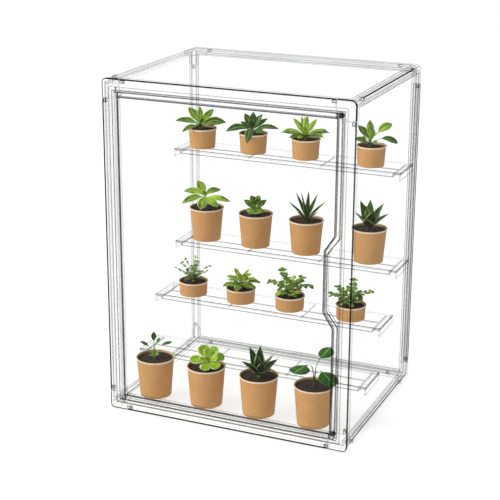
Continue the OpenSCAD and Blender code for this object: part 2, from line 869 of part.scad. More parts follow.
// The crown's ends and its cells that carry nothing
function crown_faces(rings, columns, taken) =
    let (top = (len(rings) - 1) * columns)
    [
        for (i = [1 : columns - 2]) each [[0, i, i + 1], [top, top + i + 1, top + i]],
        for (level = [0 : len(rings) - 2])
            for (i = [0 : columns - 1])
                if (len(search(level * columns + i, taken)) == 0)
                    let (c = cell_ring(columns, i, level))
                    each [[c[2], c[1], c[0]], [c[2], c[0], c[3]]]
    ];

// Moves points from the origin onto a cell
function on_cell(points, rings, columns, column, level) =
    let (
        a = 360 * (column + 0.5) / columns,
        r = (rings[level][1] + rings[level + 1][1]) / 2 * cos(180 / columns),
        z = (rings[level][0] + rings[level + 1][0]) / 2
    )
    [for (p = points) turned(p + [r, 0, z], a)];

// A plant. Leaves are [column, level, outline, length, width, angle up, angle down], stalks are
// [column, level, length, angle up, angle down], and small is the small leaves' [length, width].
module plant(rings, leaves, stalks = [], small = [10, 5], columns = 12) {
    first = columns * len(rings) + len(stalks) * stalk_size;
    starts = [
        for (i = 0, at = first; i < len(leaves); at = at + leaf_size(leaves[i][2]), i = i + 1) at
    ];
    polyhedron(
        concat(
            crown_points(rings, columns),
            [for (s = stalks)
                each on_cell(stalk_points(s[2], s[3], s[4], small[0], small[1]),
                    rings, columns, s[0], s[1])],
            [for (l = leaves)
                each on_cell(leaf_points(l[2], l[3], l[4], l[5], l[6]), rings, columns, l[0], l[1])]
        ),
        concat(
            crown_faces(rings, columns, [for (g = concat(leaves, stalks)) g[1] * columns + g[0]]),
            [for (i = [0 : 1 : len(stalks) - 1])
                each stalk_faces(cell_ring(columns, stalks[i][0], stalks[i][1]),
                    columns * len(rings) + i * stalk_size)],
            [for (i = [0 : 1 : len(leaves) - 1])
                let (l = leaves[i])
                each leaf_faces(cell_ring(columns, l[0], l[1]), starts[i], len(l[2]) - 1)]
        )
    );
}

// Stands a plant on the soil of one cup, some way to the side of the cup's middle, and sizes it to
// its cup
module planted(row, place, aside = 0) {
    translate([rows[row][5][place], rows[row][1], rows[row][0] + rows[row][2] - soil_drop])
        rotate(facing)
            scale(rows[row][3] / drawn_rim_r[row])
                translate([aside, 0, 0])
                    children();
}

module oblong_rosette() {
    color(mid_leaf)
        planted(0, 0, -3)
            plant(crown(5, 4.4, 3), [
                [6, 1, oval_leaf, 49, 14, 46, -6],
                [7, 1, oval_leaf, 47, 10.5, 21, -21],
                [8, 1, oval_leaf, 22, 10.5, 43, 9],
                [10, 1, oval_leaf, 30, 11.5, 32, 6],
                [11, 1, oval_leaf, 40, 12, 26, -1],
                [0, 1, oval_leaf, 49, 14, 42, -22],
                [4, 2, oval_leaf, 41, 15, 54, 34],
                [1, 2, oval_leaf, 39, 14, 52, 30],
                [9, 2, oval_leaf, 18, 9, 62, 46],
                [3, 3, oval_leaf, 31, 9, 76, 72],
                [7, 3, oval_leaf, 20, 8, 70, 62]
            ]);
}

module draping_rosette() {
    color(dark_leaf)
        planted(0, 1, -2)
            plant(crown(5, 4.4, 3), [
                [6, 1, oval_leaf, 51, 15, 46, -26],
                [10, 1, oval_leaf, 27, 11.5, 20, -6],
                [11, 1, oval_leaf, 49, 12, 40, -14],
                [8, 2, oval_leaf, 42, 17, 30, -62],
                [5, 2, oval_leaf, 24, 9, 46, 26],
                [0, 2, oval_leaf, 33, 10, 46, 28],
                [4, 3, oval_leaf, 30, 13, 62, 50],
                [0, 3, oval_leaf, 30, 11, 62, 50],
                [8, 3, oval_leaf, 20, 11, 68, 60],
                [2, 3, oval_leaf, 29, 12, 82, 76]
            ]);
}

module pale_rosette() {
    color(light_leaf)
        planted(0, 2, -1)
            plant(crown(5, 4.8, 3), [
                [5, 1, oval_leaf, 46, 12, 44, -22],
                [6, 1, oval_leaf, 38, 11, 34, 0],
                [7, 1, oval_leaf, 42, 12, 26, -6],
                [8, 1, oval_leaf, 27, 11, 28, 16],
                [9, 1, oval_leaf, 25, 11, 28, 4],
                [10, 1, oval_leaf, 40, 11, 26, -6],
                [11, 1, oval_leaf, 36, 11, 34, 0],
                [0, 1, oval_leaf, 46, 12, 42, -20],
                [4, 2, oval_leaf, 38, 11, 54, 38],
                [3, 2, oval_leaf, 36, 8, 62, 47],
                [1, 2, oval_leaf, 38, 11, 50, 34],
                [7, 2, oval_leaf, 26, 10, 50, 34],
                [10, 2, oval_leaf, 25, 10, 50, 36],
                [2, 3, oval_leaf, 32, 10, 72, 68],
                [5, 3, oval_leaf, 24, 9, 66, 60],
                [8, 3, oval_leaf, 18, 9, 68, 60],
                [11, 3, oval_leaf, 24, 9, 64, 58]
            ]);
}

module tall_leaf_plant() {
    color(mid_leaf)
        planted(0, 3, -2.5)
            plant(crown(3, 3, 5), [
                [0, 4, stalked_leaf, 48, 18, 54, 22],
                [11, 2, stalked_leaf, 51, 14, 46, -30],
                [3, 5, oval_leaf, 34, 12, 84, 80],
                [8, 5, oval_leaf, 30, 11, 78, 72],
                [5, 4, oval_leaf, 34, 13, 60, 42],
                [6, 2, oval_leaf, 29, 11, 36, 6],
                [7, 3, oval_leaf, 24, 9, 44, 24],
                [8, 1, oval_leaf, 20, 12, 38, 16],
                [2, 3, oval_leaf, 30, 10, 50, 30],
                [10, 1, oval_leaf, 17, 9, 40, 20]
            ]);
}

module whorled_rosette() {
    color(mid_leaf)
        planted(1, 0, -3)
            plant(crown(21, 3.2, 3), [
                [5, 2, oval_leaf, 42, 15, 38, -10],
                [6, 1, oval_leaf, 45, 15, 14, -30],
                [11, 1, oval_leaf, 48, 11.5, 10, -17],
                [10, 1, oval_leaf, 34, 12.5, -10, -29],
                [8, 1, oval_leaf, 31, 16, -6, -52],
                [1, 2, oval_leaf, 41, 15, 34, -10],
                [4, 3, oval_leaf, 30, 15, 64, 44],
                [8, 3, oval_leaf, 12, 8, 60, 50]
            ]);
}

module small_succulent() {
    color(mid_leaf)
        planted(1, 1, -1)
            plant([
                [0, 3], [2, 3.6], [4.4, 3.4], [10, 2.4], [12.4, 3], [14.8, 2.8], [19, 2.2],
                [21.4, 2.6], [23.6, 2]
            ], [
                [5, 1, oval_leaf, 14, 8, 34, 14],
                [7, 1, oval_leaf, 15, 8, 26, 6],
                [9, 1, oval_leaf, 13, 8, 24, 6],
                [11, 1, oval_leaf, 15, 8, 30, 10],
                [1, 1, oval_leaf, 13, 8, 40, 20],
                [5, 3, oval_leaf, 22, 10, 44, 34],
                [0, 3, oval_leaf, 22, 10, 44, 34],
                [8, 3, oval_leaf, 17, 10, 26, 12],
                [10, 4, oval_leaf, 16, 9, 34, 22],
                [3, 4, oval_leaf, 18, 9, 50, 40],
                [6, 4, oval_leaf, 15, 8, 40, 28],
                [4, 6, oval_leaf, 15, 9, 60, 54],
                [1, 6, oval_leaf, 15, 9, 60, 54],
                [8, 6, oval_leaf, 12, 10, 42, 36],
                [10, 7, oval_leaf, 12, 8, 66, 70],
                [5, 7, oval_leaf, 11, 7, 74, 76]
            ]);
}

module aloe() {
    color(dark_leaf)
        planted(1, 2, 1)
            plant(crown(3, 4.6, 3), [
                [5, 1, spike_leaf, 45, 7.5, 46, 42],
                [7, 1, spike_leaf, 34, 7, 40, 34],
                [10, 1, spike_leaf, 34, 7, 40, 34],
                [0, 1, spike_leaf, 45, 7.5, 44, 40],
                [4, 2, spike_leaf, 49, 7.5, 60, 58],
                [1, 2, spike_leaf, 47, 7.5, 60, 56],
                [8, 2, spike_leaf, 38, 7, 62, 62],
                [2, 3, spike_leaf, 46, 7, 74, 74],
                [5, 3, spike_leaf, 46, 6.5, 76, 78],
                [9, 3, spike_leaf, 42, 6.5, 80, 82]
            ]);
}

module broad_agave() {
    color(dark_leaf)
        planted(1, 3, -1)
            plant(crown(3, 5, 3), [
                [6, 1, spike_leaf, 38, 12, 50, 50],
                [11, 1, spike_leaf, 42, 12, 40, 40],
                [8, 1, spike_leaf, 32, 12, 40, 42],
                [1, 1, spike_leaf, 36, 11, 44, 42],
                [4, 2, spike_leaf, 46, 12, 64, 64],
                [0, 2, spike_leaf, 46, 12, 58, 58],
                [9, 2, spike_leaf, 36, 12, 62, 64],
                [2, 3, spike_leaf, 44, 11, 82, 82],
                [7, 3, spike_leaf, 38, 10, 76, 78]
            ]);
}

module wispy_thyme() {
    color(mid_leaf)
        planted(2, 0)
            plant(crown(2.5, 3.6, 2), [
                [1, 1, spike_leaf, 14, 4, 56, 40],
                [9, 1, spike_leaf, 12, 4, 50, 35],
                [5, 1, spike_leaf, 13, 4, 56, 36]
            ], [
                [0, 1, 42, 58, 18],
                [2, 1, 40, 58, 34],
                [4, 1, 43, 56, 24],
                [6, 1, 44, 54, 26],
                [8, 1, 38, 55, 24],
                [10, 1, 44, 51, 22],
                [1, 2, 45, 93, 75],
                [5, 2, 43, 84, 57],
                [9, 2, 40, 76, 54]
            ], [7, 3.1]);
}

module frilly_rosette() {
    color(light_leaf)
        planted(2, 1)
            plant(crown(3, 4.6, 3), [
                for (i = [0 : 2 : 10]) [i, 1, stalked_leaf, 37 - 2 * (i % 4), 12, 50, -24],
                for (i = [1 : 2 : 11]) [i, 2, stalked_leaf, 33 - i % 3, 11, 68, 4],
                for (i = [0 : 4 : 8]) [i, 3, stalked_leaf, 31, 10, 84, 44]
            ]);
}

module bushy_basil() {
    color(mid_leaf)
        planted(2, 2)
            plant(crown(2.5, 3.8, 3), [
                [7, 1, round_leaf, 23, 13, 46, 6],
                [9, 1, round_leaf, 20, 12, 40, 0],
                [3, 1, round_leaf, 20, 12, 56, 20],
                [8, 3, round_leaf, 17, 11, 72, 40],
                [1, 3, round_leaf, 18, 11, 76, 46]
            ], [
                [5, 1, 46, 64, -10],
                [11, 1, 45, 60, -8],
                [1, 1, 42, 60, 10],
                [4, 3, 44, 90, 46],
                [10, 3, 37, 76, 30]
            ], [13, 6.3]);
}

module bushy_mint() {
    color(mid_leaf)
        planted(2, 3)
            plant(crown(2.5, 3.8, 3), [
                [8, 1, round_leaf, 21, 12, 42, 4],
                [10, 1, round_leaf, 22, 12, 44, 8],
                [2, 1, round_leaf, 20, 12, 56, 20],
                [7, 3, round_leaf, 17, 11, 72, 42],
                [11, 3, round_leaf, 18, 11, 70, 40]
            ], [
                [6, 1, 43, 62, -6],
                [0, 1, 44, 60, -6],
                [4, 1, 40, 62, 14],
                [2, 3, 41, 70, 38],
                [9, 3, 37, 70, 27]
            ], [12, 5.7]);
}

module olive_sprig() {
    color(dark_leaf)
        planted(3, 0, -2)
            plant([
                [0, 2.4], [2, 2.8], [4.4, 2.4], [14, 1.7], [16.4, 1.8], [18.8, 1.8], [21.2, 1.6],
                [23.6, 1.4]
            ], [
                [5, 1, spike_leaf, 17, 4, 64, 50],
                [7, 1, spike_leaf, 14, 4, 40, 24],
                [10, 1, spike_leaf, 16, 4, 46, 30],
                [0, 1, spike_leaf, 15, 4, 60, 44],
                [5, 3, stalked_leaf, 29, 7.5, 40, 20],
                [0, 4, stalked_leaf, 34, 8.5, 32, 8],
                [1, 5, stalked_leaf, 20, 6, 54, 46],
                [3, 6, stalked_leaf, 25, 10.5, 88, 84]
            ]);
}

module jade_rosette() {
    color(light_leaf)
        planted(3, 1, 4)
            plant(crown(9, 4.4, 3), [
                [6, 1, round_leaf, 31, 16, 30, -2],
                [0, 1, round_leaf, 27, 16, 34, 0],
                [8, 1, round_leaf, 22, 15, 4, -30],
                [10, 1, round_leaf, 22, 15, 6, -26],
                [4, 2, round_leaf, 28, 18, 62, 44],
                [1, 2, round_leaf, 26, 16, 60, 44],
                [7, 2, round_leaf, 17, 12, 36, 14],
                [11, 2, round_leaf, 17, 12, 38, 18],
                [3, 3, round_leaf, 18, 12, 84, 74],
                [8, 3, round_leaf, 12, 10, 54, 40]
            ]);
}

module dark_haworthia() {
    color(dark_leaf)
        planted(3, 2)
            plant(crown(3, 5, 3), [
                [6, 1, spike_leaf, 39, 11, 46, 42],
                [8, 1, spike_leaf, 24, 11, 26, 34],
                [10, 1, spike_leaf, 32, 10, 34, 34],
                [0, 1, spike_leaf, 39, 11, 40, 36],
                [2, 1, spike_leaf, 36, 11, 50, 46],
                [4, 2, spike_leaf, 46, 11, 64, 62],
                [11, 2, spike_leaf, 44, 11, 58, 56],
                [7, 2, spike_leaf, 34, 8.5, 50, 52],
                [9, 2, spike_leaf, 28, 8.5, 58, 62],
                [2, 3, spike_leaf, 45, 10, 80, 82],
                [8, 3, spike_leaf, 34, 9, 74, 80]
            ]);
}

module coin_leaf_plant() {
    color(dark_leaf)
        planted(3, 3)
            plant(crown(3, 3, 4), [
                [7, 3, coin_leaf(0.63), 84, 32, 85, -44],
                [1, 4, coin_leaf(0.64), 70, 27, 84, 30],
                [10, 2, coin_leaf(0.55), 74, 33, 80, -62]
            ]);
}

floor_panel();
top_panel();
back_panel();
left_panel();
right_panel();
front_left_post();
front_right_post();
back_left_post();
back_right_post();
front_top_rail();
front_bottom_rail();
back_top_rail();
back_bottom_rail();
left_top_rail();
left_bottom_rail();
right_top_rail();
right_bottom_rail();
front_corner_connectors();
back_corner_connectors();
left_shelf_ledges();
right_shelf_ledges();
frame_magnets();
door_hinge_stile();
door_handle_stile();
door_top_rail();
door_bottom_rail();
door_panel();
door_hinge_pins();
door_magnets();
shelf_1();
shelf_2();
shelf_3();
shelf_4();
shelf_1_cups();
shelf_2_cups();
shelf_3_cups();
floor_cups();
shelf_1_soil();
shelf_2_soil();
shelf_3_soil();
floor_soil();
oblong_rosette();
draping_rosette();
pale_rosette();
tall_leaf_plant();
whorled_rosette();
small_succulent();
aloe();
broad_agave();
wispy_thyme();
frilly_rosette();
bushy_basil();
bushy_mint();
olive_sprig();
jade_rosette();
dark_haworthia();
coin_leaf_plant();
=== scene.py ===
"""Looks of the mini greenhouse: clear plastic, kraft cups, soil and sixteen plants."""

import math

import bpy
import numpy as np
from mathutils import Matrix, Vector


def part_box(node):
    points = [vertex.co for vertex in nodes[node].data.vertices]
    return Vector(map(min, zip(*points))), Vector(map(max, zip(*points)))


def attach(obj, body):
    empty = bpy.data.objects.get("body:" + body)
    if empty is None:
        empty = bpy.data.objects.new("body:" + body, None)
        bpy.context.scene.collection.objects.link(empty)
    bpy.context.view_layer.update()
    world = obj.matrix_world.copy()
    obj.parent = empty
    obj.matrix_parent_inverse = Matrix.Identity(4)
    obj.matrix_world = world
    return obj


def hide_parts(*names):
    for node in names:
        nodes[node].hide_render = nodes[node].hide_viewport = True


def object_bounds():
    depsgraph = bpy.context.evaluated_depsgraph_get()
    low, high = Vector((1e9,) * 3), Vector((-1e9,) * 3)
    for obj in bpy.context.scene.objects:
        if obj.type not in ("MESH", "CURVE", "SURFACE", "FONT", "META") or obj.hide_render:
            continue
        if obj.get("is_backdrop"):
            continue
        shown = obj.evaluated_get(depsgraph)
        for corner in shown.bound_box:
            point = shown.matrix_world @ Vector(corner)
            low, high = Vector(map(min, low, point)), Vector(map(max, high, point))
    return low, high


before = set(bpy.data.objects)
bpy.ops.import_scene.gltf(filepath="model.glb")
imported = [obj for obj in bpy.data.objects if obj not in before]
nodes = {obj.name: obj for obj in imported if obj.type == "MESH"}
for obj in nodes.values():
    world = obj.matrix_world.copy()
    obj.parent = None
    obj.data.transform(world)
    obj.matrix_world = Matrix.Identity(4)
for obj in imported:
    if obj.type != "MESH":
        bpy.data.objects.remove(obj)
cad_low, cad_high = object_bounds()
scene = bpy.context.scene
scene.view_settings.view_transform = "Standard"
# Light paths long enough for many clear walls, one behind the other
scene.cycles.transparent_max_bounces = 48
scene.cycles.max_bounces = 24
scene.cycles.transmission_bounces = 24

# Camera, fitted to the photograph

CAM_AT = Vector((0.8723, -2.0807, 1.0163))
CAM_TARGET = Vector((-0.0281, 0.0, 0.2728))
CAM_ROLL = 0.0052
FOCAL_PX = 1327.7
FRAME_PX = 500
SENSOR_MM = 36

cam_data = bpy.data.cameras.new("camera")
cam_data.sensor_width = SENSOR_MM
cam_data.lens = FOCAL_PX / FRAME_PX * SENSOR_MM
cam_data.clip_start = 0.05
cam_data.clip_end = 300
camera = bpy.data.objects.new("camera", cam_data)
scene.collection.objects.link(camera)
sight = (CAM_TARGET - CAM_AT).normalized()
camera.matrix_world = (
    Matrix.Translation(CAM_AT)
    @ sight.to_track_quat("-Z", "Y").to_matrix().to_4x4()
    @ Matrix.Rotation(CAM_ROLL, 4, "Z")
)
scene.camera = camera


# Node helpers

class Tree:
    """A material's node tree with short calls for the nodes used here."""

    def __init__(self, owner):
        """The owner is a new material's name, or a world that keeps its own nodes."""
        if isinstance(owner, bpy.types.World):
            self.nt = owner.node_tree
            return
        self.mat = bpy.data.materials.new(owner)
        self.mat.use_nodes = True
        self.nt = self.mat.node_tree
        self.nt.nodes.clear()
        self.out = self.nt.nodes.new("ShaderNodeOutputMaterial")

    def node(self, kind, **props):
        n = self.nt.nodes.new(kind)
        for key, value in props.items():
            setattr(n, key, value)
        return n

    def link(self, a, b):
        self.nt.links.new(a, b)

    def put(self, socket, value):
        """A socket gets another socket or a plain value."""
        if isinstance(value, bpy.types.NodeSocket):
            self.link(value, socket)
        else:
            socket.default_value = value

    def place(self):
        """The point on the object, in metres."""
        return self.node("ShaderNodeTexCoord").outputs["Object"]

    def parts(self, vector):
        """The three parts of a vector."""
        n = self.node("ShaderNodeSeparateXYZ")
        self.link(vector, n.inputs[0])
        return n.outputs

    def facing(self, blend):
        """How far the surface turns away from the viewer."""
        n = self.node("ShaderNodeLayerWeight")
        n.inputs["Blend"].default_value = blend
        return n.outputs["Facing"]

    def math(self, kind, a, b=0.0):
        n = self.node("ShaderNodeMath", operation=kind)
        self.put(n.inputs[0], a)
        self.put(n.inputs[1], b)
        return n.outputs[0]

    def times(self, a, b):
        return self.math("MULTIPLY", a, b)

    def minus(self, a, b):
        return self.math("SUBTRACT", a, b)

    def ramp(self, value, low, high, to_low=0.0, to_high=1.0):
        """Runs from to_low to to_high while value runs from low to high."""
        n = self.node("ShaderNodeMapRange", interpolation_type="SMOOTHSTEP")
        for i, v in enumerate((value, low, high, to_low, to_high)):
            self.put(n.inputs[i], v)
        return n.outputs[0]

    def mix(self, share, a, b):
        """A mix of two colours. Sockets 6 and 7 are the node's colours, and output 2 is theirs."""
        n = self.node("ShaderNodeMix", data_type="RGBA")
        self.put(n.inputs[0], share)
        for i, colour in ((6, a), (7, b)):
            self.put(n.inputs[i], colour if isinstance(colour, bpy.types.NodeSocket) else (*colour, 1))
        return n.outputs[2]

    def blend(self, share, a, b):
        """A mix of two shaders."""
        n = self.node("ShaderNodeMixShader")
        for i, socket in enumerate((share, a, b)):
            self.link(socket, n.inputs[i])
        return n.outputs[0]

    def noise(self, scale, detail=3.0, stretch=(1, 1, 1), rough=0.5):
        """Noise on the object. A stretch below 1 along an axis draws it out along that axis."""
        m = self.node("ShaderNodeMapping")
        m.inputs["Scale"].default_value = stretch
        self.link(self.place(), m.inputs["Vector"])
        n = self.node("ShaderNodeTexNoise")
        self.link(m.outputs[0], n.inputs["Vector"])
        n.inputs["Scale"].default_value = scale
        n.inputs["Detail"].default_value = detail
        n.inputs["Roughness"].default_value = rough
        return n.outputs["Fac"]

    def bump(self, height, distance, strength=1.0):
        n = self.node("ShaderNodeBump")
        n.inputs["Strength"].default_value = strength
        n.inputs["Distance"].default_value = distance
        self.link(height, n.inputs["Height"])
        return n.outputs[0]

    def principled(self, **values):
        """The main surface shader. Its inputs are named with underscores for spaces."""
        n = self.node("ShaderNodeBsdfPrincipled")
        for key, value in values.items():
            self.put(n.inputs[key.replace("_", " ")], value)
        return n

    def finish(self, shader):
        self.link(shader, self.out.inputs["Surface"])
        return self.mat


def set_material(node, mat):
    """A CAD node's slots all get one material."""
    slots = nodes[node].data.materials
    if not len(slots):
        slots.append(mat)
    for i in range(len(slots)):
        slots[i] = mat


# Clear plastic

# Colour of the painted dark line along an edge, a painted shade for the light that the edge bends away
PAINTED_LINE_COLOUR = (0.004, 0.005, 0.006)
# How far an edge turns the surface where its painted dark line and its painted soft grey side begin and
# are full
DARK_TURN = (0.04, 0.1)
SOFT_TURN = (0.001, 0.09)
# The same for a rounded edge, which gets its painted dark line along its middle
ROUND_TURN = (0.07, 0.14)
# How far a face turns from the viewer while its line goes from its narrow to its wide width
SLANT = (0.14, 0.34)
# Distance from the case's outer faces to where a bar butts against a connector
LEG = 0.034
# Distance from the case's outer faces to a spigot's middle, and how far its marks reach from there
SPIGOT_IN = 0.005
SPIGOT_HALF = 0.0027
# How far the door stands out before the case's bars
DOOR_PROUD = 0.001
# Radius of the case's corners in the front view
CORNER_R = 0.010
# Depth behind the front up to which the front bars' lines stay strong
FRONT_DEPTH = 0.0055
# Distances over which marks fade: a bar's line, the line in a round corner's middle, a shelf's front
# and end, a line that sinks, the line at the door's rear face, and a butt joint
LINE_FADE = (-0.0001, 0.0003)
ARC_FADE = (0.0017, 0.0021)
LIP_FADE = (0.0012, 0.0022)
END_FADE = (0.0030, 0.0015)
SINK_FADE = 0.001
REAR_FADE = (0.0020, 0.0014)
LEG_FADE = (0.0010, 0.0020)
# Depth below a round corner's face down to which its middle line shows
ARC_DEEP = 0.0004
# Shares of a line's strength away from a shelf's front and end, and at a butt joint
SHELF_REST = 0.42
LEG_REST = 0.4
# Strength of the line at the door's rear face
REAR_CORE = 0.7


def painted_edge_shade(t, look):
    """How far the painted edge shade hides what is behind the plastic: a painted dark line along its
    edges, a softer painted grey beside them.

    In a look, reach and spread are the widths of the dark line and of its soft side, core and soft are
    their strengths, and behind is what a face seen from the inside loses. joints marks the case's bars,
    line is the least and greatest width of their outer edges' line, and spigot is what marks lose on a
    connector's spigot. round is for rounded edges of other pieces, like ROUND_TURN. front and end are
    the places along Y and X where a shelf's lines are strong. A line keeps the share sinks of itself
    from depth behind the front on, up to the place back along Y.
    """
    geometry = t.node("ShaderNodeNewGeometry")

    def turned(radius):
        """How far an edge within the radius turns the surface."""
        bevel = t.node("ShaderNodeBevel", samples=8)
        bevel.inputs["Radius"].default_value = radius
        dot = t.node("ShaderNodeVectorMath", operation="DOT_PRODUCT")
        t.link(bevel.outputs[0], dot.inputs[0])
        t.link(geometry.outputs["Normal"], dot.inputs[1])
        return t.minus(1.0, dot.outputs["Value"])

    if look.get("joints"):
        arris = outer_edge(t, t.ramp(t.facing(0.5), *SLANT, *look["line"]))
    else:
        arris = t.ramp(rounding(t), *look.get("round", ROUND_TURN))
    dark = t.math("MAXIMUM", t.ramp(turned(look["reach"]), *DARK_TURN), arris)
    smear = t.ramp(t.noise(7, 2.0), 0.3, 0.62, 0.45, 1.0)
    grey = t.times(t.ramp(turned(look["spread"]), *SOFT_TURN), look["soft"])
    grey = t.times(grey, smear)
    core = look["core"]
    if "front" in look:
        core = shelf_core(t, look)
    if "sinks" in look:
        core = sinking_core(t, look)
    edge = t.math("MAXIMUM", t.times(dark, core), grey)
    if look.get("joints"):
        edge = t.times(edge, joint_fade(t, look.get("spigot", 0.85)))
    behind = t.times(geometry.outputs["Backfacing"], look.get("behind", 0.55))
    return t.times(edge, t.minus(1.0, behind))


def rounding(t):
    """Zero on faces square to the axes, and more where a rounded edge turns between them."""
    sides = t.parts(t.node("ShaderNodeTexCoord").outputs["Normal"])
    x, y, z = (t.math("ABSOLUTE", sides[i]) for i in range(3))
    return t.minus(1.0, t.math("MAXIMUM", t.math("MAXIMUM", x, y), z))


def case_faces(axis):
    """The case's outer faces along an axis, without the door that stands out at the front."""
    low, high = getattr(cad_low, axis), getattr(cad_high, axis)
    return low + (DOOR_PROUD if axis == "y" else 0), high


def nearest(t, value, places):
    """The distance from a value to the nearer of two places."""
    return t.math("MINIMUM", *[t.math("ABSOLUTE", t.minus(value, p)) for p in places])


def hypotenuse(t, a, b):
    return t.math("SQRT", t.math("ADD", t.math("POWER", a, 2.0), t.math("POWER", b, 2.0)))


def outer_edge(t, line):
    """One within the distance line of the case's outer edges, and along its round corners' middles."""
    at = t.parts(t.place())
    x, y, z = (nearest(t, at[i], case_faces(axis)) for i, axis in enumerate("xyz"))
    inner = [t.math("MAXIMUM", t.minus(CORNER_R, gap), 0.0) for gap in (x, z)]
    rim = t.minus(CORNER_R, hypotenuse(t, *inner))
    edges = t.ramp(t.minus(line, hypotenuse(t, rim, y)), *LINE_FADE)
    middle = t.ramp(t.math("ABSOLUTE", t.minus(x, z)), *ARC_FADE, 1.0, 0.0)
    arc = t.times(middle, t.math("LESS_THAN", rim, ARC_DEEP))
    arc = t.times(arc, t.math("LESS_THAN", t.math("MAXIMUM", x, z), CORNER_R))
    return t.math("MAXIMUM", edges, arc)


def shelf_core(t, look):
    """A shelf's line strength: full along its front edge and at its right end, and weak elsewhere."""
    at = t.parts(t.place())
    front = t.ramp(at[1], *(look["front"] + gap for gap in LIP_FADE), 1.0, 0.0)
    end = t.ramp(at[0], *(look["end"] - gap for gap in END_FADE))
    return t.ramp(t.math("MAXIMUM", front, end), 0.0, 1.0, look["core"] * SHELF_REST, look["core"])


def sinking_core(t, look):
    """The line's strength sinks behind the front, and comes back at the look's place back, if any."""
    y = t.parts(t.place())[1]
    front = cad_low.y + look.get("depth", FRONT_DEPTH)
    core = t.ramp(y, front, front + SINK_FADE, look["core"], look["core"] * look["sinks"])
    if "back" in look:
        rear = t.ramp(y, *(look["back"] - gap for gap in REAR_FADE), 0.0, REAR_CORE)
        core = t.math("MAXIMUM", core, rear)
    return core


def joint_fade(t, spigot):
    """Weaker where a bar butts against a connector, and by the share spigot on the spigot inside it."""
    at = t.parts(t.place())
    keep = 1.0
    near = []
    for i, axis in enumerate("xyz"):
        low, high = case_faces(axis)
        leg = nearest(t, at[i], (low + LEG, high - LEG))
        keep = t.times(keep, t.ramp(leg, *LEG_FADE, LEG_REST, 1.0))
        near.append(nearest(t, at[i], (low + SPIGOT_IN, high - SPIGOT_IN)))
    pairs = [hypotenuse(t, near[i], near[i - 1]) for i in range(3)]
    closest = t.math("MINIMUM", t.math("MINIMUM", *pairs[:2]), pairs[2])
    inside = t.times(t.math("LESS_THAN", closest, SPIGOT_HALF), spigot)
    return t.times(keep, t.minus(1.0, inside))


def clear_plastic(name, look):
    """Clear plastic. Its edges bend light away, and each gets a painted dark line with a painted soft
    grey side for that shade.
    """
    t = Tree(name)
    edge = painted_edge_shade(t, look)
    haze_and_grazing_shade = look["haze_and_grazing_shade"]
    # Painted grazing shade: the grey cover grows from the plastic's faint haze to six times it where a
    # face turns away from the viewer
    side = t.ramp(t.facing(0.35), 0.3, 1.0, haze_and_grazing_shade, haze_and_grazing_shade * 6)
    gloss = t.principled(Base_Color=(*look.get("tint", (0.6, 0.62, 0.62)), 1), Roughness=0.08, IOR=1.49)
    line = t.principled(Base_Color=(*PAINTED_LINE_COLOUR, 1), Roughness=0.7, Specular_IOR_Level=0.0)
    body = t.blend(t.ramp(edge, 0.0, 0.12), gloss.outputs[0], line.outputs[0])
    through = t.node("ShaderNodeBsdfTransparent")
    through.inputs["Color"].default_value = (0.995, 0.998, 0.996, 1)
    return t.finish(t.blend(t.math("MAXIMUM", side, edge), through.outputs[0], body))


BAR = dict(reach=0.0034, spread=0.006, core=0.98, soft=0.18, haze_and_grazing_shade=0.006, joints=True,
           line=(0.0023, 0.0047))
DOOR = dict(reach=0.0054, spread=0.006, core=1.0, soft=0.12, haze_and_grazing_shade=0.006, round=(0.2, 0.27), sinks=0.1,
            depth=0.0016, back=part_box("door_hinge_stile")[1].y)
PANEL = dict(reach=0.0006, spread=0.002, core=0.1, soft=0.05, haze_and_grazing_shade=0.003, tint=(0.8, 0.83, 0.82))
SHELF = dict(reach=0.0042, spread=0.004, core=1.0, soft=0.15, haze_and_grazing_shade=0.004, behind=0.35)

# Each material with its look and the nodes that it goes on
PLASTICS = {
    "bar_front": (BAR | dict(sinks=0.5, line=(0.0020, 0.0034)), ["front_top_rail"]),
    "bar_corner": (BAR | dict(line=(0.0020, 0.0044), sinks=0.6, spigot=0.3),
                   ["front_corner_connectors"]),
    "bar_outline": (BAR | dict(reach=0.0040, sinks=0.55, line=(0.0044, 0.0050)),
                    ["front_left_post", "front_bottom_rail"]),
    "bar_near": (BAR | dict(core=0.9, line=(0.0021, 0.0034), sinks=0.6), ["front_right_post"]),
    "bar_right": (BAR | dict(soft=0.08, reach=0.0030), ["right_top_rail", "right_bottom_rail"]),
    "bar_back_right": (BAR | dict(core=1.0, soft=0.05, reach=0.0036, line=(0.0026, 0.0078)),
                       ["back_right_post"]),
    "bar_low_back": (BAR | dict(core=0.55, soft=0.2), ["back_bottom_rail", "back_corner_connectors"]),
    "bar_left": (BAR | dict(core=0.45, soft=0.2), ["left_bottom_rail", "back_top_rail"]),
    "bar_far": (BAR | dict(core=0.32, soft=0.16), ["back_left_post", "left_top_rail"]),
    "door_plastic": (DOOR, ["door_hinge_stile", "door_top_rail", "door_bottom_rail"]),
    "handle_plastic": (DOOR | dict(reach=0.0058, behind=0.35), ["door_handle_stile"]),
    "panel_plastic": (PANEL, [n for n in nodes if n.endswith("_panel")]),
    "ledge_plastic": (SHELF | dict(core=0.4), ["left_shelf_ledges", "right_shelf_ledges"]),
}
for n in ("shelf_1", "shelf_2", "shelf_3", "shelf_4"):
    low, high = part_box(n)
    PLASTICS["plastic_" + n] = (SHELF | dict(front=low.y, end=high.x), [n])

for name, (look, names) in PLASTICS.items():
    plastic = clear_plastic(name, look)
    for n in names:
        set_material(n, plastic)


# Metal

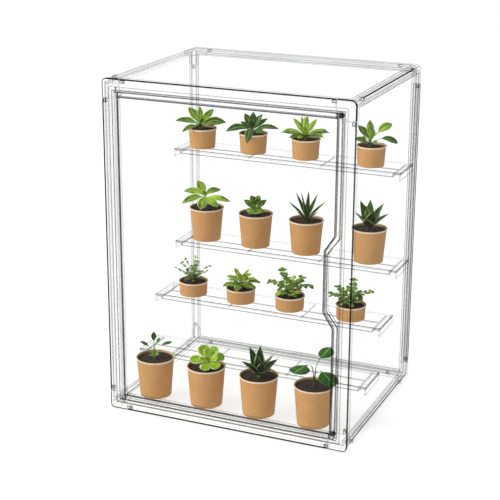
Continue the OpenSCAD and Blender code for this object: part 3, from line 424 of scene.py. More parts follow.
def dark_magnet():
    t = Tree("magnet_coat")
    grain = t.noise(900, 2.0)
    base = t.mix(grain, (0.012, 0.012, 0.014), (0.03, 0.03, 0.034))
    shader = t.principled(Base_Color=base, Metallic=0.6, Normal=t.bump(grain, 0.00002),
                          Roughness=t.ramp(grain, 0.3, 0.7, 0.2, 0.36))
    return t.finish(shader.outputs[0])


def brushed_steel():
    t = Tree("pin_steel")
    grain = t.noise(600, 3.0, (1, 1, 0.05))
    base = t.mix(grain, (0.42, 0.43, 0.44), (0.62, 0.63, 0.64))
    shader = t.principled(Base_Color=base, Metallic=1.0,
                          Roughness=t.ramp(grain, 0.3, 0.7, 0.25, 0.42))
    return t.finish(shader.outputs[0])


magnet_coat = dark_magnet()
for n in ("frame_magnets", "door_magnets"):
    set_material(n, magnet_coat)
set_material("door_hinge_pins", brushed_steel())


# Kraft paper cups

# Height of the pale rolled rim, and half the height over which it gives way to the brown paper
RIM_H = 0.0029
RIM_BLUR = 0.0002


def kraft_paper(name, top):
    """Brown paper with fibres, and a pale rolled rim over the height top."""
    t = Tree(name)
    z = t.parts(t.place())[2]
    fibres = t.noise(520, 4.0, (1, 1, 0.35), 0.65)
    flecks = t.noise(1500, 2.0, (1, 1, 0.25))
    clouds = t.noise(28, 2.0)
    paper = t.mix(t.ramp(fibres, 0.3, 0.7), (0.42, 0.215, 0.076), (0.52, 0.275, 0.106))
    paper = t.mix(t.ramp(clouds, 0.3, 0.7, 0.0, 0.3), paper, (0.56, 0.31, 0.126))
    paper = t.mix(t.ramp(flecks, 0.62, 0.74, 0.0, 0.35), paper, (0.26, 0.125, 0.045))
    rim = t.mix(t.ramp(fibres, 0.3, 0.7), (0.66, 0.52, 0.36), (0.78, 0.64, 0.47))
    high = t.ramp(z, top - RIM_H - RIM_BLUR, top - RIM_H + RIM_BLUR)
    base = t.mix(high, paper, rim)
    height = t.math("ADD", fibres, t.times(flecks, 0.5))
    shader = t.principled(Base_Color=base, Roughness=t.ramp(fibres, 0.3, 0.7, 0.62, 0.8),
                          Normal=t.bump(height, 0.00006, 0.6), Specular_IOR_Level=0.35)
    return t.finish(shader.outputs[0])


CUP_ROWS = ["shelf_1_cups", "shelf_2_cups", "shelf_3_cups", "floor_cups"]
SOIL_ROWS = ["shelf_1_soil", "shelf_2_soil", "shelf_3_soil", "floor_soil"]
for n in CUP_ROWS:
    set_material(n, kraft_paper("kraft_" + n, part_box(n)[1].z))


# Places of the sixteen cups

# A wider step than this between two points' places along X parts one cup's soil from the next
CUP_GAP = 0.012
# Points up to this height over a soil's lowest one belong to its underside
UNDERSIDE_H = 0.0005


def spots():
    """Reads each cup's place from the soil solids in the frame."""
    rows = []
    for n in SOIL_ROWS:
        co = np.array([v.co for v in nodes[n].data.vertices])
        low, high = co.min(0), co.max(0)
        r = (high[1] - low[1]) / 2
        xs = np.sort(np.unique(np.round(co[:, 0], 4)))
        groups = np.split(xs, np.where(np.diff(xs) > CUP_GAP)[0] + 1)
        base = co[co[:, 2] < low[2] + UNDERSIDE_H]
        rows.append(dict(
            x=[(g[0] + g[-1]) / 2 for g in groups], y=(low[1] + high[1]) / 2, z=high[2], r=r,
            low=low[2], low_r=(base[:, 1].max() - base[:, 1].min()) / 2))
    return rows


ROWS = spots()
BODY_OF_ROW = ["shelf_1_body", "shelf_2_body", "shelf_3_body", "case"]


# Mesh helper

class Skin:
    """Collects points, faces and a colour for each point, then makes one object."""

    def __init__(self):
        self.points, self.faces, self.info, self.kinds = [], [], [], []

    def grid(self, rows, info, kind=0, flip=False):
        """A skin through rows of points. Each row's last point joins its first."""
        start = len(self.points)
        w = len(rows[0])
        for row, tags in zip(rows, info):
            self.points += [tuple(p) for p in row]
            self.info += list(tags)
        for j in range(len(rows) - 1):
            for i in range(w):
                a, b = start + j * w + i, start + j * w + (i + 1) % w
                q = (a, b, b + w, a + w)
                self.faces.append(q[::-1] if flip else q)
                self.kinds.append(kind)
        return start

    def fan(self, ring, tip, kind=0, flip=False):
        """Triangles from a ring of points to a tip."""
        for i in range(len(ring)):
            t = (ring[i], ring[(i + 1) % len(ring)], tip)
            self.faces.append(t[::-1] if flip else t)
            self.kinds.append(kind)

    def make(self, name, mats, body, matrix=None):
        """The object, riding on a body. Each face's kind is the place of its material in mats."""
        mesh = bpy.data.meshes.new(name)
        mesh.from_pydata(self.points, [], self.faces)
        colour = mesh.attributes.new("tag", "FLOAT_COLOR", "POINT")
        colour.data.foreach_set("color", np.array(self.info, np.float32).ravel())
        for m in mats:
            mesh.materials.append(m)
        mesh.polygons.foreach_set("material_index", self.kinds)
        mesh.polygons.foreach_set("use_smooth", [True] * len(self.faces))
        if matrix is not None:
            mesh.transform(matrix)
        mesh.update()
        obj = bpy.data.objects.new(name, mesh)
        scene.collection.objects.link(obj)
        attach(obj, body)
        return obj


def smooth_curve(xs, ys, at):
    """A smooth curve through points, without overshoot at the ends."""
    xs, ys = np.asarray(xs, float), np.asarray(ys, float)
    d = np.diff(ys) / np.diff(xs)
    m = np.empty(len(xs))
    m[0], m[-1] = d[0], d[-1]
    m[1:-1] = np.where(d[1:] * d[:-1] > 0, 2 * d[1:] * d[:-1] / (d[1:] + d[:-1] + 1e-12), 0)
    k = np.clip(np.searchsorted(xs, at) - 1, 0, len(xs) - 2)
    h = xs[k + 1] - xs[k]
    s = (at - xs[k]) / h
    return ((1 + 2 * s) * (1 - s) ** 2 * ys[k] + s * (1 - s) ** 2 * h * m[k]
            + s * s * (3 - 2 * s) * ys[k + 1] + s * s * (s - 1) * h * m[k + 1])


# Soil

def soil_material():
    t = Tree("potting_soil")
    fine = t.noise(900, 5.0, (1, 1, 1), 0.7)
    lumps = t.noise(240, 3.0)
    base = t.mix(t.ramp(lumps, 0.35, 0.65), (0.009, 0.005, 0.003), (0.060, 0.030, 0.015))
    base = t.mix(t.ramp(fine, 0.6, 0.74, 0.0, 0.6), base, (0.12, 0.066, 0.036))
    shader = t.principled(Base_Color=base, Roughness=t.ramp(fine, 0.3, 0.7, 0.75, 0.95),
                          Normal=t.bump(t.math("ADD", fine, lumps), 0.0006))
    return t.finish(shader.outputs[0])


soil_mat = soil_material()
# A crumb's corners and faces, an icosahedron's
CRUMB = [
    (0, 0, 1), (0.894, 0, 0.447), (0.276, 0.851, 0.447), (-0.724, 0.526, 0.447),
    (-0.724, -0.526, 0.447), (0.276, -0.851, 0.447), (0.724, 0.526, -0.447),
    (-0.276, 0.851, -0.447), (-0.894, 0, -0.447), (-0.276, -0.851, -0.447),
    (0.724, -0.526, -0.447), (0, 0, -1)
]
CRUMB_FACES = [
    (0, 1, 2), (0, 2, 3), (0, 3, 4), (0, 4, 5), (0, 5, 1), (1, 6, 2), (2, 7, 3), (3, 8, 4),
    (4, 9, 5), (5, 10, 1), (6, 7, 2), (7, 8, 3), (8, 9, 4), (9, 10, 5), (10, 6, 1),
    (11, 7, 6), (11, 8, 7), (11, 9, 8), (11, 10, 9), (11, 6, 10)
]


# Points round a cup, and rings from the rim to the middle
SOIL_AROUND = 44
SOIL_RINGS = 9
# How far the soil's rim stays inside the solid's, and its top below the solid's
SOIL_GAP = 0.0001
SOIL_DROP = 0.0012
# Heights of the lumps and of the mound in the middle
LUMP_H = 0.0007
MOUND_H = 0.0014
# Width of the strip along the rim over which the lumps flatten
RIM_STRIP = 0.003
# Crumbs on each cup's soil, their least and greatest radius, and their least distance from the rim
CRUMBS = 150
CRUMB_R = (0.0005, 0.0014)
CRUMB_IN = 0.0022


def soil_row(name, row, rng, body):
    """Clumpy soil in four cups: a lumpy disc over a plug, with crumbs on it."""
    skin = Skin()
    plain = (0, 0, 0, 1)
    r0, top = row["r"] - SOIL_GAP, row["z"] - SOIL_DROP

    def mound(r):
        return MOUND_H * (1 - (r / r0) ** 2)

    for x in row["x"]:
        phase = rng.uniform(0, 6.28, 8)
        turns = [2 * math.pi * i / SOIL_AROUND for i in range(SOIL_AROUND)]
        low_r = row["low_r"]
        rows = [[(x + low_r * math.cos(a), row["y"] + low_r * math.sin(a), row["low"]) for a in turns]]
        for j in range(SOIL_RINGS + 1):
            r = r0 * (1 - j / SOIL_RINGS)
            pts = []
            for a in turns:
                px, py = r * math.cos(a), r * math.sin(a)
                # Coarse and fine lumps
                lump = (math.sin(px * 420 + phase[0]) * math.sin(py * 460 + phase[1])
                        + 0.6 * math.sin(px * 820 + phase[2]) * math.sin(py * 760 + phase[3]))
                lift = LUMP_H * lump * min(1, (r0 - r) / RIM_STRIP) + mound(r)
                pts.append((x + px, row["y"] + py, top + lift))
            rows.append(pts)
        skin.grid(rows, [[plain] * SOIL_AROUND] * len(rows))
        for _ in range(CRUMBS):
            r, a = (r0 - CRUMB_IN) * math.sqrt(rng.random()), rng.uniform(0, 6.283)
            size = rng.uniform(*CRUMB_R)
            c = Vector((x + r * math.cos(a), row["y"] + r * math.sin(a), top + mound(r) + size * 0.2))
            start = len(skin.points)
            for p in CRUMB:
                k = size * rng.uniform(0.7, 1.2)
                skin.points.append(tuple(c + Vector((p[0] * k, p[1] * k, p[2] * k * 0.8))))
                skin.info.append(plain)
            for f in CRUMB_FACES:
                skin.faces.append(tuple(start + i for i in f))
                skin.kinds.append(0)
    return skin.make(name, [soil_mat], body)


for k, n in enumerate(SOIL_ROWS):
    piece = soil_row("clumpy_" + n, ROWS[k], np.random.default_rng(40 + k), BODY_OF_ROW[k])
    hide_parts(n)


# Leaves

# Leaf outlines, as points of the share of the length, the share of the width and the share of the bend
OVAL = [(0, 0.2, 0), (0.12, 0.36, 0), (0.36, 0.84, 0.3), (0.6, 1, 0.6), (0.82, 0.62, 0.82),
        (0.94, 0.24, 0.94), (1, 0, 1)]
ROUND = [(0, 0.16, 0), (0.12, 0.3, 0), (0.38, 0.72, 0.3), (0.66, 1, 0.6), (0.9, 0.8, 0.9),
         (1, 0, 1)]
SPIKE = [(0, 0.5, 0), (0.1, 0.62, 0), (0.34, 1, 0.3), (0.72, 0.6, 0.7), (1, 0, 1)]
STALKED = [(0, 0.12, 0), (0.06, 0.12, 0), (0.4, 0.1, 0.25), (0.56, 0.75, 0.5), (0.76, 1, 0.75),
           (0.93, 0.55, 0.95), (1, 0, 1)]
# Steps across a leaf's blade, and its width at the tip as a share of its full width
ACROSS = 8
TIP_W = 0.012
# Half the width of the rib's groove, as a share of half the blade's
RIB_W = 0.16


def coin(share):
    """A round blade on a thin stalk that takes the given share of the length."""
    left = 1 - share
    widths = ((0.1, 0.55), (0.32, 0.93), (0.6, 1), (0.87, 0.66))
    blade = [(share + along * left, wide, 1) for along, wide in widths]
    return [(0, 0.07, 0), (0.05, 0.07, 0), (share - 0.01, 0.055, 0.1), *blade, (1, 0, 1)]


def bent(shape, at, up, down):
    """Direction over the horizontal along a leaf."""
    xs = [shape[0][0]] + [(a[0] + b[0]) / 2 for a, b in zip(shape, shape[1:])] + [1]
    ys = [0] + [b[2] for b in shape[1:]] + [1]
    return np.radians(up + (down - up) * np.interp(at, xs, ys))


def leaf_skin(skin, at, turn, shape, length, width, up, down, style, rng, kind=0):
    """One leaf that starts at a point, turned about Z, with a rib, thin edges and a bent blade.

    Its direction over the horizontal runs from up to down, in degrees. Each point's colour holds its
    place across and along the leaf and the leaf's own shade, for the material.
    """
    n, m = style["steps"], ACROSS
    # Steps a little shorter towards the tip
    s = np.linspace(0, 1, n + 1) ** 0.9
    s[-1] = 1
    ang = bent(shape, s, up, down)
    step = np.diff(s, prepend=0) * length
    cx, cz = np.cumsum(step * np.cos(ang)), np.cumsum(step * np.sin(ang))
    width *= style["wide"]
    along, wide = [p[0] for p in shape], [p[1] for p in shape]
    w = np.maximum(smooth_curve(along, wide, s), 0) * width / 2
    w[-1] = width * TIP_W
    # Thinner towards the tip and where the blade is narrow
    thick = style["thick"] * (1 - 0.55 * s) * np.minimum(1, (w / (width / 2)) * 1.6 + 0.25)
    twist = rng.uniform(-1, 1) * style["twist"]
    face = style["face"] * math.cos(turn)
    shade = rng.random()
    wave = style["wave"] * width
    ph = rng.uniform(0, 6.28)
    ca, sa = math.cos(turn), math.sin(turn)
    rows, tags = [], []
    for j in range(n + 1):
        over = np.array([-math.sin(ang[j]), 0, math.cos(ang[j])])
        roll = math.radians(twist * s[j] + face * min(1, s[j] * 2.5))
        pt, pl, tg = [], [], []
        for i in range(m + 1):
            u = 2 * i / m - 1
            ripple = wave * math.sin(s[j] * 16 + ph + (u > 0) * 1.7)
            lift = (style["trough"] * w[j] + ripple) * u * u
            rib = style["rib"] * thick[j] * math.exp(-(u / RIB_W) ** 2)
            # The upper and the lower face meet in a thin rim
            swell = thick[j] * (1 - abs(u) ** 2.4)
            for out, z in ((pt, lift + 0.45 * swell - rib), (pl, lift - 0.55 * swell)):
                y = w[j] * u
                y2 = y * math.cos(roll) - z * math.sin(roll)
                z2 = y * math.sin(roll) + z * math.cos(roll)
                p = np.array([cx[j], y2, cz[j]]) + z2 * over
                out.append((at[0] + p[0] * ca - p[1] * sa, at[1] + p[0] * sa + p[1] * ca,
                            at[2] + p[2]))
            tg.append((abs(u), s[j], shade, 1))
        rows.append(pt + pl[-2:0:-1])
        tags.append(tg + tg[-2:0:-1])
    start = skin.grid(rows, tags, kind, flip=True)
    ring = 2 * m
    skin.points.append(tuple(np.mean(rows[-1], axis=0)))
    skin.info.append((0, 1, shade, 1))
    tip = len(skin.points) - 1
    skin.fan([start + n * ring + i for i in range(ring)], tip, kind, flip=True)


def tube(skin, path, radii, info, around=8, kind=0):
    """A round tube along a path, closed at its end."""
    path = [np.asarray(p, float) for p in path]
    rows, tags = [], []
    for j, p in enumerate(path):
        d = path[min(j + 1, len(path) - 1)] - path[max(j - 1, 0)]
        d /= np.linalg.norm(d)
        side = np.cross(d, (0.3, 0.9, 0.1))
        side /= np.linalg.norm(side)
        up = np.cross(side, d)
        rows.append([p + radii[j] * (math.cos(a) * side + math.sin(a) * up)
                     for a in np.linspace(0, 2 * math.pi, around, endpoint=False)])
        tags.append([info] * around)
    start = skin.grid(rows, tags, kind)
    skin.points.append(tuple(path[-1]))
    skin.info.append(info)
    last = start + (len(path) - 1) * around
    skin.fan([last + i for i in range(around)], len(skin.points) - 1, kind)


def leaf_material(name, dark, light, edge, edge_at, vein=0.5, gloss=0.34, painted_underside_shade=0.75):
    """A leaf, lighter towards its start, with a pale rim from edge_at on, partly its own paler margin and
    partly a painted highlight, a rib line, fine cells, and painted shade where it faces down.
    """
    t = Tree(name)
    tag = t.node("ShaderNodeAttribute", attribute_name="tag")
    parts = t.node("ShaderNodeSeparateColor")
    t.link(tag.outputs["Color"], parts.inputs[0])
    across, along, shade = parts.outputs[0], parts.outputs[1], parts.outputs[2]
    cells = t.noise(1300, 3.0)
    patches = t.noise(120, 3.0)
    base = t.mix(t.ramp(along, 0.0, 0.8, 1.0, 0.05), dark, light)
    base = t.mix(t.ramp(shade, 0.0, 1.0, 0.0, 0.65), base, dark)
    base = t.mix(t.ramp(patches, 0.35, 0.65, 0.0, 0.3), base, light)
    base = t.mix(t.ramp(cells, 0.45, 0.7, 0.0, 0.25), base, tuple(c * 0.5 for c in dark))
    rib = t.ramp(across, 0.02, 0.11, vein, 0.0)
    base = t.mix(rib, base, edge)
    # A pale rim: partly the leaf's own paler margin, partly a painted highlight along its edge
    base = t.mix(t.ramp(across, edge_at, min(edge_at + 0.1, 1.0), 0.0, 0.85), base, edge)
    # Painted shade: darker where the leaf faces down, away from the light above
    up = t.parts(t.node("ShaderNodeNewGeometry").outputs["Normal"])[2]
    base = t.mix(t.ramp(up, -0.1, 0.6, painted_underside_shade, 0.0), base, tuple(c * 0.45 for c in dark))
    height = t.math("ADD", cells, t.times(patches, 0.6))
    shader = t.principled(Base_Color=base, Roughness=t.ramp(cells, 0.3, 0.7, gloss, gloss + 0.14),
                          Normal=t.bump(height, 0.00012, 0.7), Specular_IOR_Level=0.3,
                          Subsurface_Weight=0.08, Subsurface_Scale=0.002)
    return t.finish(shader.outputs[0])


def stem_material(name, low, high):
    t = Tree(name)
    streak = t.noise(500, 3.0, (1, 1, 0.15))
    base = t.mix(t.ramp(streak, 0.3, 0.7), low, high)
    shader = t.principled(Base_Color=base, Roughness=t.ramp(streak, 0.3, 0.7, 0.5, 0.7),
                          Normal=t.bump(streak, 0.0001, 0.5))
    return t.finish(shader.outputs[0])


# The plants' turn about Z towards the camera
FACING = math.radians(23.4)
MM = 0.001
# A crown's height from one level of leaf starts to the next, and its columns, in the plants' millimetres
CELL_H = 2.4
COLUMNS = 12
# Distances of a leaf's start and of the crown's face from the middle, as shares of the crown's radius
LEAF_START = 0.35
CROWN_FACE = 0.966
# A stem's radius as a share of the crown's, and how it changes from the foot to the tip
STEM = 0.55
STEM_TAPER = (1.25, 1.1, 1, 0.9, 0.5)
# A turn between two leaves that spreads them evenly over a dome
GOLDEN_TURN = 2.39996

# Leaf styles. wide multiplies the width, thick is the thickness in millimetres, trough, rib and wave are
# the shares of the lifted sides, the rib's groove and the wavy rim, twist and face are turns in degrees
# about the leaf's length, and steps is the number of steps along it.
STYLE_KEYS = ("wide", "thick", "trough", "rib", "wave", "twist", "steps", "face")
STYLES = {name: dict(zip(STYLE_KEYS, values)) for name, values in {
    "soft": (1.22, 1.5, 0.18, 0.28, 0.012, 10, 16, 30),
    "narrow": (0.95, 1.4, 0.2, 0.28, 0.012, 10, 16, 28),
    "thin": (1.25, 1.0, 0.22, 0.25, 0.02, 14, 14, 16),
    "fleshy": (1.35, 2.6, 0.16, 0.1, 0.0, 5, 14, 26),
    "spike": (1.5, 2.2, 0.3, 0.05, 0.0, 3, 14, 14),
    "aloe": (1.25, 2.2, 0.3, 0.05, 0.0, 3, 14, 10),
    "coin": (1.12, 1.3, -0.08, 0.15, 0.006, 4, 26, 0),
    "tiny": (1.4, 0.5, 0.25, 0.2, 0.02, 12, 7, 20),
    "frill": (1.5, 0.5, 0.3, 0.2, 0.09, 16, 9, 20),
}.items()}


def crown(stem_h, r, levels):
    """A crown's rings, each a height and a radius, over a stem of the given height."""
    top = [(stem_h + CELL_H * n, r * (1 - 0.1 * n)) for n in range(levels + 1)]
    return [(0, r * 0.75)] + top


def cell_at(rings, column, level):
    """A leaf's start inside the crown at its cell's height, its turn about Z and its start's radius."""
    r = (rings[level][1] + rings[level + 1][1]) / 2 * LEAF_START
    z = (rings[level][0] + rings[level + 1][0]) / 2
    a = 2 * math.pi * (column + 0.5) / COLUMNS
    return np.array([r * math.cos(a), r * math.sin(a), z]), a, r


def plant(name, row, place, rings, leaves, mats, style, aside=0, stalks=(), small=(10, 5), mound=None,
          broad=1.0, grow=1.0):
    """A plant in one cup, on its own short stem.

    Leaves come by outline. Each is its column and level on the crown, its length and width, its direction
    over the horizontal at its start and at its end, and its material's place in mats if not the first.
    A stalk is its column, level, length and two directions, and small is its leaves' length and width.
    The last of mats is the stem's. broad and grow multiply the leaves' widths and lengths.
    """
    rng = np.random.default_rng(100 + 4 * row + place)
    skin = Skin()
    looks = dict(STYLES[style])
    looks["wide"] *= broad
    stem_kind = len(mats) - 1
    flat = [(shape, *leaf) for shape, rows in leaves for leaf in rows]
    for shape, column, level, length, width, up, down, *other in flat:
        at, turn, r = cell_at(rings, column, level)
        full = (rings[level][1] + rings[level + 1][1]) / 2 * CROWN_FACE
        turn += math.radians(rng.uniform(-3, 3))
        kind = other[0] if other else 0
        leaf_skin(skin, at, turn, shape, length * grow + full - r, width, up, down, looks, rng, kind)
    for column, level, length, up, down in stalks:
        at, turn, r = cell_at(rings, column, level)
        grow_stalk(skin, at, turn, length, up, down, small, rng, stem_kind)
    if mound:
        grow_mound(skin, rng, stem_kind, **mound)
    grow_stem(skin, rings[-1][0], rings[1][1], stem_kind)
    spot = ROWS[row]
    matrix = (Matrix.Translation((spot["x"][place], spot["y"], spot["z"]))
              @ Matrix.Rotation(FACING, 4, "Z") @ Matrix.Translation((aside * MM, 0, 0))
              @ Matrix.Scale(MM, 4))
    piece = skin.make("leafy_" + name, mats, BODY_OF_ROW[row], matrix)
    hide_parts(name)


def grow_stem(skin, top, wide, kind):
    """The stem in the crown's middle, from a little below the soil up to the top."""
    path = [(0, 0, -2.5), (0, 0, 0), (0.15, 0.1, top * 0.4), (0, 0.1, top * 0.8), (0, 0, top + 0.6)]
    radii = [wide * STEM * share for share in STEM_TAPER]
    tube(skin, path, radii, (0.5, 0.3, 0.5, 1), 14, kind)


def grow_mound(skin, rng, stem_kind, wide, low, high, count, size, style="tiny"):
    """Small leaves over a dome from low to high, each on its own thin stalk out of the crown."""
    for i in range(count):
        rise = math.acos(1 - (i + 0.5) / count)
        turn = i * GOLDEN_TURN + rng.uniform(-0.25, 0.25)
        reach = rng.uniform(0.72, 1.0)
        out = wide * math.sin(rise) * reach
        height = low + (high - low) * math.cos(rise) * reach
        tip = np.array([out * math.cos(turn), out * math.sin(turn), height])
        # The stalk rises first and leans out later
        mid = tip * (0.45, 0.45, 0.62)
        tube(skin, [(0, 0, 1.5), mid, tip], [0.5, 0.42, 0.3], (0.5, 0.25, 0.5, 1), 6, stem_kind)
        k = rng.uniform(0.8, 1.15)
        tilt = math.degrees(rise)
        kind = int(rng.random() < 0.4)
        leaf_skin(skin, tip, turn, OVAL, size[0] * k, size[1] * k, 78 - 0.75 * tilt, 40 - 0.75 * tilt,
                  STYLES[style], rng, kind)


# Steps along a stalk, and places of its leaf pairs
STALK_STEPS = 12
PAIRS_AT = (0.26, 0.38, 0.5, 0.62, 0.74, 0.86, 0.98)


def grow_stalk(skin, at, turn, length, up, down, small, rng, stem_kind):
    """A bending stalk with pairs of small leaves and a tuft at its end."""
    n = STALK_STEPS
    s = np.linspace(0, 1, n + 1)
    ang = np.radians(up + (down - up) * s)
    step = length * 0.9 / n
    x = np.concatenate([[0], np.cumsum(step * np.cos(ang[:-1]))])
    z = np.concatenate([[0], np.cumsum(step * np.sin(ang[:-1]))])
    ca, sa = math.cos(turn), math.sin(turn)
    sway = 0.6 * np.sin(s * 5 + rng.uniform(0, 6)) * s
    path = [at + np.array([x[j] * ca - sway[j] * sa, x[j] * sa + sway[j] * ca, z[j]])
            for j in range(n + 1)]
    radii = [0.62 * (1 - 0.55 * v) for v in s]
    tube(skin, path, radii, (0.5, 0.2, 0.5, 1), 7, stem_kind)
    for share in PAIRS_AT:
        j = int(round(share * n))
        for side in (-1, 1):
            size = (0.5 + 0.5 * share) * rng.uniform(0.85, 1.1)
            yaw = turn + side * math.radians(rng.uniform(58, 84)) * (1.15 - 0.45 * share)
            leaf_skin(skin, path[j], yaw, OVAL, small[0] * size, small[1] * size,
                      rng.uniform(20, 50), rng.uniform(-25, 15), STYLES["tiny"], rng)
    last = math.degrees(ang[-1])
    leaf_skin(skin, path[-1], turn, OVAL, small[0] * 0.8, small[1] * 0.8, last + 15, last - 20,
              STYLES["tiny"], rng)


bright = leaf_material("leaf_bright", (0.0324, 0.108, 0.0036), (0.537, 0.854, 0.0427),
                       (0.836, 0.968, 0.374), 0.80, painted_underside_shade=0.4)
deep = leaf_material("leaf_deep", (0.01, 0.045, 0.006), (0.13, 0.33, 0.03),
                     (0.572, 0.748, 0.286), 0.82)
lime = leaf_material("leaf_lime", (0.10, 0.25, 0.005), (0.708, 0.952, 0.0488),
                     (0.946, 0.98, 0.418), 0.78, painted_underside_shade=0.25)
middle = leaf_material("leaf_middle", (0.0187, 0.0756, 0.0036), (0.329, 0.61, 0.0305),
                       (0.682, 0.836, 0.264), 0.82)
dusky = leaf_material("leaf_dusky", (0.005, 0.022, 0.003), (0.055, 0.15, 0.014),
                      (0.572, 0.726, 0.308), 0.78, vein=0.12, gloss=0.26)
agave_mat = leaf_material("leaf_agave", (0.006, 0.028, 0.003), (0.13, 0.27, 0.015),
                          (0.638, 0.77, 0.264), 0.80, vein=0.12, gloss=0.26)
grey_green = leaf_material("leaf_grey_green", (0.012, 0.05, 0.008), (0.19, 0.40, 0.07),
                           (0.528, 0.704, 0.308), 0.84)
herb = leaf_material("leaf_herb", (0.012, 0.05, 0.004), (0.34, 0.66, 0.025),
                     (0.605, 0.792, 0.22), 0.86, painted_underside_shade=0.45)
jade = leaf_material("leaf_jade", (0.14, 0.33, 0.006), (0.68, 0.878, 0.0342),
                     (0.98, 0.98, 0.55), 0.74, vein=0.1, painted_underside_shade=0.3)
coin_mat = leaf_material("leaf_coin", (0.008, 0.055, 0.004), (0.05, 0.32, 0.012),
                         (0.44, 0.726, 0.198), 0.92, vein=0.4, gloss=0.24)
green_stem = stem_material("stem_green", (0.06, 0.16, 0.02), (0.22, 0.38, 0.07))
brown_stem = stem_material("stem_grey", (0.05, 0.075, 0.04), (0.16, 0.19, 0.10))

plant("oblong_rosette", 0, 0, crown(5, 4.4, 3), [(OVAL, [
    (6, 1, 49, 14, 46, -6, 1),
    (7, 1, 47, 10.5, 21, -21, 1),
    (8, 1, 22, 10.5, 43, 9, 1),
    (10, 1, 30, 11.5, 32, 6, 1),
    (11, 1, 40, 12, 26, -1, 1),
    (0, 1, 49, 14, 42, -22, 1),
    (4, 2, 41, 15, 54, 34),
    (1, 2, 39, 14, 52, 30),
    (9, 2, 18, 9, 62, 46),
    (3, 3, 31, 9, 76, 72),
    (7, 3, 20, 8, 70, 62)
])], [bright, middle, green_stem], "soft", aside=-3)
plant("draping_rosette", 0, 1, crown(5, 4.4, 3), [(OVAL, [
    (6, 1, 51, 15, 46, -26),
    (10, 1, 27, 11.5, 20, -6),
    (11, 1, 49, 12, 40, -14),
    (8, 2, 42, 12, 30, -62, 1),
    (5, 2, 24, 9, 46, 26),
    (0, 2, 33, 10, 46, 28),
    (4, 3, 30, 13, 62, 50),
    (0, 3, 30, 11, 62, 50),
    (8, 3, 20, 9, 68, 60),
    (2, 3, 29, 12, 82, 76)
])], [deep, grey_green, green_stem], "soft", aside=-2)
plant("pale_rosette", 0, 2, crown(5, 4.8, 3), [(OVAL, [
    (5, 1, 46, 12, 44, -22, 1),
    (6, 1, 38, 11, 34, 0, 1),
    (7, 1, 42, 12, 26, -6, 1),
    (8, 1, 27, 11, 28, 16, 1),
    (9, 1, 25, 11, 28, 4, 1),
    (10, 1, 40, 11, 26, -6, 1),
    (11, 1, 36, 11, 34, 0, 1),
    (0, 1, 46, 12, 42, -20, 1),
    (4, 2, 38, 11, 54, 38),
    (3, 2, 36, 8, 62, 47),
    (1, 2, 38, 11, 50, 34),
    (7, 2, 26, 10, 50, 34),
    (10, 2, 25, 10, 50, 36),
    (2, 3, 32, 10, 72, 68),
    (5, 3, 24, 9, 66, 60),
    (8, 3, 18, 9, 68, 60),
    (11, 3, 24, 9, 64, 58),
    (5.5, 2, 38, 9, 38, 2),
    (6.5, 2, 34, 9, 36, 6),
    (7.6, 1, 31, 9, 24, -6),
    (8.5, 2, 24, 9, 30, 8),
    (9.5, 2, 25, 9, 34, 6),
    (10.6, 1, 34, 9, 28, 0),
    (11.5, 2, 38, 9, 36, 4),
    (2.5, 3, 31, 8, 68, 58)
])], [lime, middle, green_stem], "narrow", aside=-1)
plant("tall_leaf_plant", 0, 3, crown(3, 3, 5), [(STALKED, [
    (0, 4, 48, 18, 54, 22, 1),
    (11, 2, 51, 14, 46, -30, 2),
]), (OVAL, [
    (3, 5, 34, 12, 84, 80, 1),
    (8, 5, 30, 11, 78, 72, 1),
    (5, 4, 34, 13, 60, 42),
    (6, 2, 29, 11, 36, 6),
    (7, 3, 24, 9, 44, 24),
    (8, 1, 20, 12, 38, 16),
    (2, 3, 30, 10, 50, 30),
    (10, 1, 17, 9, 40, 20)
])], [middle, bright, deep, green_stem], "soft", aside=-2.5)
plant("whorled_rosette", 1, 0, crown(21, 3.2, 3), [(OVAL, [
    (5, 2, 42, 15, 38, -10),
    (6, 1, 45, 15, 14, -30),
    (11, 1, 48, 11.5, 10, -17),
    (10, 1, 34, 12.5, -10, -29),
    (8, 1, 31, 16, -6, -52),
    (1, 2, 41, 15, 34, -10),
    (4, 3, 30, 15, 64, 44),
    (8, 3, 12, 8, 60, 50)
])], [bright, green_stem], "soft", aside=-3)
plant("small_succulent", 1, 1, [
    (0, 3), (2, 3.6), (4.4, 3.4), (10, 2.4), (12.4, 3), (14.8, 2.8), (19, 2.2), (21.4, 2.6), (23.6, 2)
], [(OVAL, [
    (5, 1, 14, 8, 34, 14, 1),
    (7, 1, 15, 8, 26, 6, 1),
    (9, 1, 13, 8, 24, 6, 1),
    (11, 1, 15, 8, 30, 10, 1),
    (1, 1, 13, 8, 40, 20, 1),
    (5, 3, 22, 10, 44, 34),
    (0, 3, 22, 10, 44, 34),
    (8, 3, 17, 10, 26, 12),
    (10, 4, 16, 9, 34, 22),
    (3, 4, 18, 9, 50, 40),
    (6, 4, 15, 8, 40, 28),
    (4, 6, 15, 9, 60, 54),
    (1, 6, 15, 9, 60, 54),
    (8, 6, 12, 10, 42, 36),
    (10, 7, 12, 8, 66, 70),
    (5, 7, 11, 7, 74, 76)
])], [middle, jade, green_stem], "fleshy", aside=-1, broad=1.15, grow=1.16)
plant("aloe", 1, 2, crown(3, 4.6, 3), [(SPIKE, [
    (5, 1, 45, 7.5, 46, 42),
    (7, 1, 34, 7, 40, 34),
    (10, 1, 34, 7, 40, 34),
    (0, 1, 45, 7.5, 44, 40),
    (4, 2, 49, 7.5, 60, 58),
    (1, 2, 47, 7.5, 60, 56),
    (8, 2, 38, 7, 62, 62),
    (2, 3, 46, 7, 74, 74, 1),
    (5, 3, 46, 6.5, 76, 78, 1),
    (9, 3, 42, 6.5, 80, 82, 1)
])], [agave_mat, agave_mat, agave_mat], "aloe", aside=1)
